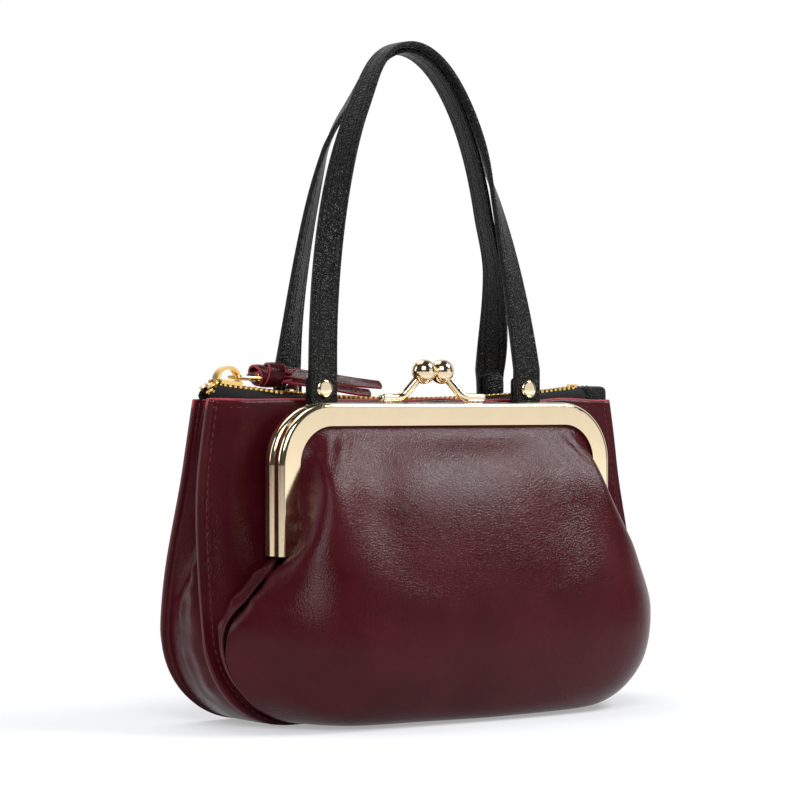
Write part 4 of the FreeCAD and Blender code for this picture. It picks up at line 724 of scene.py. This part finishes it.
# handlePath: straight up from each end, then an arch that is round on the right and has its cosine raised to a
# power on the left; the right legs lean in sooner, the rear arch lies inside the front one at the top, its left
# leg is drawn in by a sine, and each leg's face turns by its table
def handlePath(side):
    rows = handle["legRows"]
    base = np.linspace(handle["tail"], handle["base"], rows, endpoint=False)
    angle = np.linspace(0, math.pi, handle["archRows"])
    cos, sin = np.cos(angle), np.maximum(np.sin(angle), 0)
    right = cos > 0
    start = bag["mid"] + side * handle["depth"]
    share = np.where(right, 1 - (1 - sin) ** handle["earlyLean"][side], sin ** handle["lateLean"])
    power = np.where(right, 1.0, handle["arch"] - handle["archEase"] * ramp(sin, *handle["archEased"]))
    arch = np.stack([handle["spacing"] * np.sign(cos) * np.abs(cos) ** power,
                     start + (handle["tops"][side] - start) * share,
                     handle["base"] + (handle["top"] - handle["base"]) * sin], -1)
    if side > 0:
        risen = np.minimum(sin / handle["drawnTo"], 1)
        arch[:, 0] += ~right * handle["drawnIn"] * np.sin(math.pi * risen) ** handle["drawnPower"]
    leg = np.stack([np.full(rows, handle["spacing"]), np.full(rows, start), base], -1)
    path = np.concatenate([leg, arch, leg[::-1] * [-1, 1, 1]])
    backward = rowsOf((0, 1, 0), len(path))
    outward = unit(np.cross(backward, aheadOf(path)))
    inside = np.where(right, ramp(sin, *handle["nestRight"]), ramp(sin, *handle["nestLeft"]))
    inside = np.pad(inside, rows)[:, None]
    path = path - outward * (side > 0) * handle["nest"] * inside
    ahead = aheadOf(path)
    outward = unit(np.cross(backward, ahead))
    table = spline(handle["turns"][side], 120)
    turn = np.where(path[:, 0] < 0, np.interp(path[:, 2], table[:, 0], table[:, 1]),
                    np.interp(path[:, 2], table[:, 0], table[:, 2]))
    n = handle["smooth"]
    turn = np.radians(np.convolve(np.pad(turn, n // 2, mode="edge"), np.ones(n) / n, "valid"))[:, None]
    face = squareTo(ahead, backward * side * np.cos(turn) + outward * np.sin(turn))
    width = np.interp(path[:, 2], *zip(*handle["width"]))
    thin = 1 - handle["thinned"] * ramp(path[:, 2], handle["base"], handle["thinBy"])
    return path, np.cross(ahead, face), face, width, thin


# profile: radius and depth, from the middle of the cap to the middle of the back
rivet = {"height": 141.2, "profile": (
    (0, 8.7), (1.6, 8.72), (2.8, 8.79), (3.4, 8.92), (3.8, 9.15), (4.02, 9.5), (4.1, 9.9), (1.3, 10.05), (1.3, 14.1),
    (3.3, 14.25), (3.7, 14.5), (3.3, 15.0), (1.6, 15.32), (0, 15.35))}
tab = {"low": 114.8, "top": {-1: 146.8, 1: 149.0}, "width": {-1: 14.0, 1: 11.0}, "thick": 1.5, "off": 0.8, "ends": 2.5,
       "rows": 40}
foldedEnd = {"middle": (handle["spacing"], 34.6, 142.4), "half": (5.0, 1.6, 5.6), "power": 0.55}
strapSeam = {"length": 2.3, "gap": 1.0, "width": 0.6, "height": 0.5, "out": 1.22, "skip": 4}


# lathe: a profile of radius and depth turned about a line along y
def lathe(profile, x, z, side, count=40):
    r, y = np.array(profile, float).T[..., None]
    turn = circle(count)[None]
    y = np.repeat(y if side < 0 else 2 * bag["mid"] - y, count, 1)
    return np.stack([x + r * np.cos(turn), y, z + r * np.sin(turn)], -1)


# strapThreads: a row of stitches in each sewn groove of a strap's outer face
def strapThreads(path, wide, face, width, thin):
    off = (band["sewn"] * width / 2)[:, None] * wide
    kept = slice(strapSeam["skip"], -strapSeam["skip"])
    size = [strapSeam[key] for key in ("length", "gap", "width", "height")]
    return [seam((path + off * hand + face * thin[:, None] * strapSeam["out"])[kept], face[kept], *size)
            for hand in (-1, 1)]


# tabStrips: the two upright backing strips behind a strap's ends
def tabStrips(side):
    rows = tab["rows"]
    z = np.linspace(tab["low"], tab["top"][side], rows)
    y = np.full(rows, bag["mid"] + side * (bag["topDepth"] + tab["off"]))
    paths = [np.stack([np.full(rows, hand * handle["spacing"]), y, z], -1) for hand in (-1, 1)]
    return [capped(ribbon(path, rowsOf((1, 0, 0), rows), rowsOf((0, side, 0), rows), tab["width"][side], tab["thick"],
                          grooves=False, ends=tab["ends"])) for path in paths]


for side, word in bothSides:
    path, wide, face, width, thin = handlePath(side)
    strap = rounded(f"{word}Strap", [capped(ribbon(path, wide, face, width, handle["thick"], thin=thin))], "black",
                    None, [f"{word}_handle", f"{word}_strap_ends"])
    thread = rounded(f"{word}StrapThread", strapThreads(path, wide, face, width, thin), "blackThread", None)
    for obj in (strap, thread):
        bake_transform(obj)
    tabs = tabStrips(side) + ([pillow(**foldedEnd)] if side > 0 else [])
    rounded(f"{word}StrapTabs", tabs, "black", "main_bag", [f"{word}_strap_tabs"])
    caps = [lathe(rivet["profile"], hand * handle["spacing"], rivet["height"], side) for hand in (-1, 1)]
    rounded(f"{word}Rivets", caps, "gold", "main_bag", [f"{word}_rivets"])
print("handles on")

# wraps: middle along x, height, lean, half depth, half height and width of each band of the knot
pull = {
    "bar": (-80.6, bag["mid"], 146.0), "thick": 1.5, "ringRows": 60, "leanFrom": 0.5,
    "wraps": ((8.0, 1.2, 1.6, 4.7, 4.7, 8.4), (1.6, 0.9, -1.2, 3.9, 4.0, 4.6)),
    "loop": {"rows": 70, "width": 6.4,
             "points": ((17, 0, 1.8), (9, 0, 3.6), (2.5, 0, 3.6), (-2.4, 0, 0.6), (1.5, 0, -2.1), (8, 0, -2.2),
                        (17, 0, -1.0))},
    "upper": {"rows": 90, "width": 6.6, "slim": 2.2, "twist": ((0, 0.3), (0.25, 0.95), (0.7, 1.15), (1, 0.8)),
              "points": ((4, 0, 3.0), (12, 0, 2.8), (22, -0.5, 1.4), (36, -1.0, -0.2), (50, -1.5, -1.8),
                         (64, -2.1, -3.0))},
    "lower": {"rows": 90, "width": 5.6, "slim": 1.6, "twist": ((0, 0.2), (0.3, 0.7), (1, 0.9)),
              "points": ((4, 0, -0.6), (12, -0.4, -0.6), (22, -2.2, -1.8), (34, -4.2, -3.6), (45, -5.6, -5.4),
                         (55, -6.6, -6.6))}}
half = band["flat"] + band["round"]  # points round half of a ribbon's outline
edgeColumns = (*range(band["flat"] - 1, half), *range(half + band["flat"] - 1, 2 * half))


# strip: a flat thong along a smooth line from the bar; its face turns about the line by a table
def strip(points, rows, width, twist=((0, 0), (1, 0)), slim=0.0):
    path = spline(np.array(points) + pull["bar"], rows)
    ahead = aheadOf(path)
    side = squareTo(ahead, rowsOf((0, 1, 0), rows))
    face = np.cross(ahead, side)
    share = np.linspace(0, 1, rows)
    turn = np.interp(share, *zip(*twist))[:, None]
    side, face = side * np.cos(turn) + face * np.sin(turn), face * np.cos(turn) - side * np.sin(turn)
    return capped(ribbon(path, side, face, width - slim * share ** 0.7, pull["thick"], grooves=False, ends=0.8))


# keeper: a band round the thong, its ring leaning along x by a sine
def keeper(along, height, lean, halfDeep, halfHigh, width):
    turn = circle(pull["ringRows"])
    out = np.stack([0 * turn, np.cos(turn), np.sin(turn)], -1)
    x, y, z = pull["bar"]
    ring = np.stack([x + along + lean * np.sin(turn + pull["leanFrom"]), y + halfDeep * np.cos(turn),
                     z + height + halfHigh * np.sin(turn)], -1)
    return ribbon(ring, rowsOf((1, 0, 0), len(turn)), out, width, pull["thick"], grooves=False, closed=True)


thongs = [strip(**pull[name]) for name in ("loop", "upper", "lower")]
rounded("zipPullStrip", thongs, "burgundy", "zip_pull", ["pull_strap"], edge="redEdge", trim=edgeColumns)
bands = [keeper(*row) for row in pull["wraps"]]
piece("zipPullKnot", bands, "burgundy", "zip_pull", ["pull_keeper"], wrap=(True, True), edge="redEdge",
      trim=edgeColumns)
print("zip pull tied")

# spokes: each runs from the frame, the folded side or the seam to the middle of the front, as (across, depth,
# height) of the sewn rim, the line outside the channel, the fold, the shoulder of the front and its middle stretch;
# the waves are radians per millimetre up and across, and the sway an added wave up the side
pouch = {"spokes": [
    [(0, -4.6, 128.5), (0, -6.2, 123.6), (0, -12.5, 115), (0, -26, 92), (0, -36, 67)],
    [(35, -4.6, 128.5), (35, -6.2, 123.6), (34.5, -12.3, 115.2), (30, -26, 92), (20, -36, 67)],
    [(60, -4.6, 128.5), (60, -6.3, 123.4), (58.5, -12.4, 115.4), (48, -25.5, 93), (30, -35.6, 67.5)],
    [(77, -4.6, 123.5), (73.6, -6.4, 118.8), (72.0, -13.5, 112), (58.5, -25, 91), (36, -35.6, 66)],
    [(83, -4.6, 106), (79.0, -6.2, 104.5), (76.0, -17.5, 101.5), (62.5, -27, 87), (40, -36.2, 63)],
    [(83, -4.6, 89), (79.4, -6.2, 88), (82.0, -19.0, 85), (68.5, -30, 77), (44, -37.8, 60)],
    [(83, -4.6, 75.5), (82.0, -6.6, 75.0), (88.0, -18.6, 74), (74.0, -32, 68.5), (47, -39.4, 56)],
    [(88, -5.6, 64), (94.5, -7.4, 65), (95.0, -16.0, 64.5), (80.0, -33, 60), (50, -40.4, 51.5)],
    [(100.5, -5.0, 54), (105.0, -8.0, 54.6), (100.8, -17.5, 54), (84.0, -34.5, 51), (52, -41.4, 47)],
    [(112, -4.2, 44), (111.0, -8.5, 44.2), (103.2, -18.5, 43.5), (85.0, -35.5, 42.5), (53, -42.3, 42)],
    [(113.4, -2.6, 30), (109.2, -8.5, 30.4), (101.6, -18.5, 31), (84.5, -35.8, 34), (52, -42.6, 38)],
    [(106, -2.6, 17), (102.4, -8.5, 17.6), (96.6, -19, 19), (80.2, -36, 25.5), (48, -42.7, 34)],
    [(91.5, -2.6, 6), (89, -8.5, 6.6), (84, -20, 8), (68.5, -36.3, 17.5), (41, -42.8, 31)],
    [(72, -2.6, 1.0), (70.5, -9, 1.0), (66, -21.5, 2.0), (52.5, -36.5, 12.5), (31, -42.8, 28.5)],
    [(40, -2.6, 0.8), (39, -9.5, 0.7), (37, -23, 0.9), (29, -36.5, 10.5), (17.5, -42.8, 27.5)],
    [(0, -2.6, 0.8), (0, -10, 0.7), (0, -24, 0.8), (0, -36.5, 10), (0, -42.8, 27)],
], "middle": (0, -43, 43), "rings": (1.0, 0.93, 0.8, 0.52, 0.26), "columns": 150, "leather": 1.5, "floor": 0.1,
         "soft": 0.16, "softIn": (0.62, 0.95), "pucker": 0.05, "puckerTop": (108, 118), "puckerWave": (1.15, 0.3),
         "puckerSway": (0.4, 0.31), "gather": 0.15, "gatherWave": (0.55, 0.9),
         "puckerZone": {"ring": (0.87, 0.06), "out": (66, 76), "above": (60, 85)},
         "gatherZone": {"ring": (0.82, 0.09), "out": (50, 64), "above": (100, 112)},
         # across, half width and depth of each hollow, how they lean, and the heights where they come and go
         "hollows": ((-50, 13, 1.5), (48, 15, 1.3), (4, 20, -0.5)), "hollowLean": 0.25, "hollowMid": 95,
         "hollowLow": (62, 96), "hollowTop": (110, 121)}


# drape: the rings beyond "outer" hold tight and those inside it give; crowd is how far the grid closes up at the rim
drape = {"outer": 0.6, "tight": 2e-4, "loose": 2e-2, "crowd": 0.45}


# pouchControls: the spokes of one half and their mirror image round a flat disc, with the places they stand for
def pouchControls(spokes, rings, middle):
    half = np.array(spokes, float)
    whole = np.concatenate([half * [-1, 1, 1], half[-2:0:-1]])
    angle = 2 * math.pi * np.arange(len(whole)) / len(whole)
    spots = np.array(rings)[None, :, None] * np.stack([-np.sin(angle), np.cos(angle)], -1)[:, None]
    give = np.where(np.array(rings) > drape["outer"], drape["tight"], drape["loose"])
    slack = np.append(np.tile(give, len(whole)), drape["loose"])
    return (np.concatenate([spots.reshape(-1, 2), [[0, 0]]]), np.concatenate([whole.reshape(-1, 3), [middle]]), slack)


# discGrid: a square grid bent to a disc, x = s sqrt(1 - t^2/2) and y = t sqrt(1 - s^2/2), closer near the rim
def discGrid(count):
    even = np.linspace(-1, 1, count)
    s = np.sin(even * math.pi / 2) * drape["crowd"] + even * (1 - drape["crowd"])
    s, t = np.meshgrid(s, s, indexing="ij")
    return np.stack([s * np.sqrt(1 - t * t / 2), t * np.sqrt(1 - s * s / 2)], -1)


# stretched: a thin plate over the controls of the front or the back, on a disc
def stretched(shape):
    spots, values, slack = pouchControls(shape["spokes"], shape["rings"], shape["middle"])
    disc = discGrid(shape["columns"])
    return thinPlate(spots, values, disc, slack), disc


# ringZone: a bell across a ring of the disc, beyond a width and above a height
def ringZone(r, x, z, ring, out, above):
    return np.exp(-((r - ring[0]) / ring[1]) ** 2) * ramp(np.abs(x), *out) * ramp(z, *above)


# pouchFront: the stretched plate with slow waves, soft hollows, puckers beside the frame's legs and gathers at its
# corners, all along its normals
def pouchFront():
    grid, disc = stretched(pouch)
    out = normalsOf(grid)
    out = out * np.sign((out * [0, -1, 0.2]).sum(-1).mean())
    r = np.linalg.norm(disc, axis=-1)
    x, z = grid[..., 0], grid[..., 2]
    soft = pouch["soft"] * ripple(x, z, 40, 90, 16, 5) * (1 - ramp(r, *pouch["softIn"]))
    beside = ringZone(r, x, z, **pouch["puckerZone"]) * (1 - ramp(z, *pouch["puckerTop"]))
    (up, across), (sway, rate) = pouch["puckerWave"], pouch["puckerSway"]
    pucker = pouch["pucker"] * np.cos(z * up + sway * np.sin(z * rate) + np.abs(x) * across) * beside
    up, across = pouch["gatherWave"]
    gather = pouch["gather"] * np.cos(np.abs(x) * across + z * up) * ringZone(r, x, z, **pouch["gatherZone"])
    upper = ramp(z, *pouch["hollowLow"]) * (1 - ramp(z, *pouch["hollowTop"]))
    lean = pouch["hollowLean"] * (z - pouch["hollowMid"])
    drawn = sum(deep * np.exp(-((x - at - lean) / wide) ** 2) for at, wide, deep in pouch["hollows"])
    grid = grid + out * (soft + pucker + gather - drawn * upper)[..., None]
    grid[..., 2] = np.maximum(grid[..., 2], pouch["floor"])
    return grid


front = piece("pouchFront", [pouchFront()], "burgundy", None, ["pouch_front_panel_upper", "pouch_front_panel_lower"],
              face=(0, -1, 0), wall=pouch["leather"], inner="lining", edge="cutEdge")
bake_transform(front)

pouchBack = {"rings": (1.0, 0.94, 0.82, 0.45), "spokes": [
    [(0, 4.6, 129), (0, 4.6, 124), (0, 4.7, 112), (0, 5.0, 80)],
    [(35, 4.6, 129), (35, 4.6, 124), (33, 4.7, 112), (18, 5.0, 80)],
    [(60, 4.6, 129), (59, 4.6, 124), (55, 4.7, 112), (30, 5.0, 80)],
    [(77, 4.6, 123.5), (74, 4.6, 119), (66, 4.7, 109), (36, 5.0, 78)],
    [(83.5, 4.6, 106), (80, 4.6, 105), (71, 4.7, 97), (39, 5.0, 74)],
    [(84, 4.6, 89), (81, 4.6, 88), (73, 4.8, 83), (40, 5.0, 68)],
    [(83.5, 2.6, 75), (84.2, 4.4, 74.5), (78, 5.0, 71), (42, 5.0, 62)],
    [(91, -2.4, 65.5), (96, 1.6, 65.5), (92, 4.6, 62.5), (48, 5.0, 56)],
    [(102.5, -2.8, 54.8), (107, 1.4, 55), (101, 4.8, 52.4), (53, 5.0, 51)],
    [(113.6, -2.2, 44), (114.6, 1.8, 44), (104.5, 5.0, 43), (56, 5.0, 46)],
    [(114.2, -1.4, 30), (112.5, 3.0, 30.4), (102, 5.0, 33), (55, 5.0, 41)],
    [(106.4, -1.4, 17), (104.5, 3.0, 17.8), (95, 5.0, 22), (51, 5.0, 36)],
    [(92, -1.4, 6), (90, 3.0, 7), (82, 5.0, 12.5), (44, 5.0, 31)],
    [(72.3, -1.4, 0.9), (70.8, 3.0, 1.6), (64, 5.0, 7.5), (35, 5.0, 28)],
    [(40, -1.4, 0.7), (39, 3.0, 1.2), (36, 5.0, 6.5), (19, 5.0, 26.5)],
    [(0, -1.4, 0.7), (0, 3.0, 1.2), (0, 5.0, 6.5), (0, 5.0, 26)],
], "middle": (0, 5.0, 55), "columns": 110, "leather": 1.4, "rearmost": 5.4, "floor": 1.6}
grid, _ = stretched(pouchBack)
grid[..., 1] = np.minimum(grid[..., 1], pouchBack["rearmost"])
grid[..., 2] = np.maximum(grid[..., 2], pouchBack["floor"])
piece("pouchBack", [grid], "burgundy", "main_bag", ["pouch_rear_panel", "pouch_gusset", "pouch_lining"],
      face=(0, 1, 0), wall=pouchBack["leather"], inner="lining", edge="cutEdge")
print("pouch hung in its frame")

# focal and aim are in pixels; shadow: radii between which the floor fades to white, and the white near the bag;
# opening: the dim side of the room, by the cosine from the camera's way; lamps: place, size and watts
studio = {"turn": math.radians(36.5), "distance": 1.3, "height": 0.1365, "focal": 2955.0, "aim": 9.0, "pixels": 800,
          "sensor": 36, "floorSize": 3.0, "floorColour": (0.84, 0.86, 0.90, 1), "floorRough": 0.65, "floorSheen": 0.2,
          "shadow": (0.05, 0.42), "shadowWhite": 0.35, "opening": (-0.8, -0.3), "openingDim": 0.05,
          "openingTilt": -0.05, "ambient": 0.42, "lit": (0, 0, 0.1),
          "lamps": {"keyBox": ((0.92, -0.58, 1.15), 0.52, 16), "rightCard": ((0.80, -1.05, 0.20), 0.9, 2.2),
                    "leftBox": ((-0.72, -0.95, 0.85), 0.7, 10), "sideCard": ((-1.00, 0.70, 0.55), 0.7, 3.6),
                    "backTop": ((-0.2, 0.5, 1.3), 0.9, 6)}}
camera = bpy.data.cameras.new("camera")
camera.sensor_width = studio["sensor"]
camera.lens = studio["focal"] / studio["pixels"] * studio["sensor"]
camera.clip_end = 20
cameraObject = bpy.data.objects.new("camera", camera)
scene.collection.objects.link(cameraObject)
a, away = studio["turn"], studio["distance"]
cameraObject.location = (-away * math.sin(a), bag["mid"] / 1000 - away * math.cos(a), studio["height"])
cameraObject.rotation_euler = (math.pi / 2, 0, -a + math.atan(studio["aim"] / studio["focal"]))
scene.camera = cameraObject

line = np.linspace(-1, 1, 9) * studio["floorSize"] * 1000
floorGrid = np.stack(np.meshgrid(line, line, [0.0], indexing="ij"), -1)[:, :, 0]
floorFinish, tree, skin = material("paleFloor")
skin.inputs["Base Color"].default_value = studio["floorColour"]
skin.inputs["Roughness"].default_value = studio["floorRough"]
skin.inputs["Specular IOR Level"].default_value = studio["floorSheen"]
spot = add(tree, "TexCoord")
reach = add(tree, "VectorMath", {"operation": "LENGTH"}, i0=(spot, "Object"))
fade = add(tree, "MapRange", {"interpolation_type": "SMOOTHSTEP"}, Value=(reach, "Value"),
           From_Min=studio["shadow"][0], From_Max=studio["shadow"][1], To_Min=studio["shadowWhite"], To_Max=1.0)
path = add(tree, "LightPath")
seen = maths(tree, "MAXIMUM", (path, "Is Camera Ray"), (path, "Is Glossy Ray"))
seen = maths(tree, "MAXIMUM", seen, (path, "Is Transmission Ray"))
share = maths(tree, "MULTIPLY", (fade, "Result"), seen)
glow = add(tree, "Emission", Color=(1, 1, 1, 1), Strength=1.0)
blend = add(tree, "MixShader", Fac=share)
tree.links.new(skin.outputs["BSDF"], blend.inputs[1])
tree.links.new(glow.outputs["Emission"], blend.inputs[2])
tree.links.new(blend.outputs["Shader"], tree.nodes["Material Output"].inputs["Surface"])
finish["floor"] = floorFinish
piece("floor", [floorGrid], "floor", face=(0, 0, 1))

# the room: white for the eye and for metal, with a dim opening on the camera's side, and a plain level of light
world = bpy.data.worlds.new("room")
scene.world = world
world.use_nodes = True
tree = world.node_tree
tree.nodes.clear()
spot = add(tree, "TexCoord")
towards = add(tree, "VectorMath", {"operation": "DOT_PRODUCT"}, i0=(spot, "Generated"),
              i1=(-math.sin(a), -math.cos(a), studio["openingTilt"]))
opening = add(tree, "MapRange", {"interpolation_type": "SMOOTHSTEP"}, Value=(towards, "Value"),
              From_Min=studio["opening"][0], From_Max=studio["opening"][1], To_Min=1.0, To_Max=studio["openingDim"])
path = add(tree, "LightPath")
gloss = maths(tree, "MAXIMUM", (path, "Is Glossy Ray"), (path, "Is Transmission Ray"))
ambient = maths(tree, "MULTIPLY", maths(tree, "SUBTRACT", 1.0, gloss), studio["ambient"])
level = maths(tree, "ADD", maths(tree, "MULTIPLY", gloss, (opening, "Result")), ambient)
level = maths(tree, "MAXIMUM", level, (path, "Is Camera Ray"))
sky = add(tree, "Background", Color=(1, 1, 1, 1), Strength=level)
add(tree, "OutputWorld", Surface=(sky, "Background"))


# lamp: a square soft box aimed at the bag
def lamp(name, place, size, watts):
    light = bpy.data.lights.new(name, "AREA")
    light.shape = "SQUARE"
    light.size = size
    light.energy = watts
    obj = bpy.data.objects.new(name, light)
    scene.collection.objects.link(obj)
    obj.location = place
    obj.rotation_euler = (Vector(studio["lit"]) - Vector(place)).to_track_quat("-Z", "Y").to_euler()


for name, settings in studio["lamps"].items():
    lamp(name, *settings)
scene.view_settings.view_transform = "Standard"
print("studio lit")
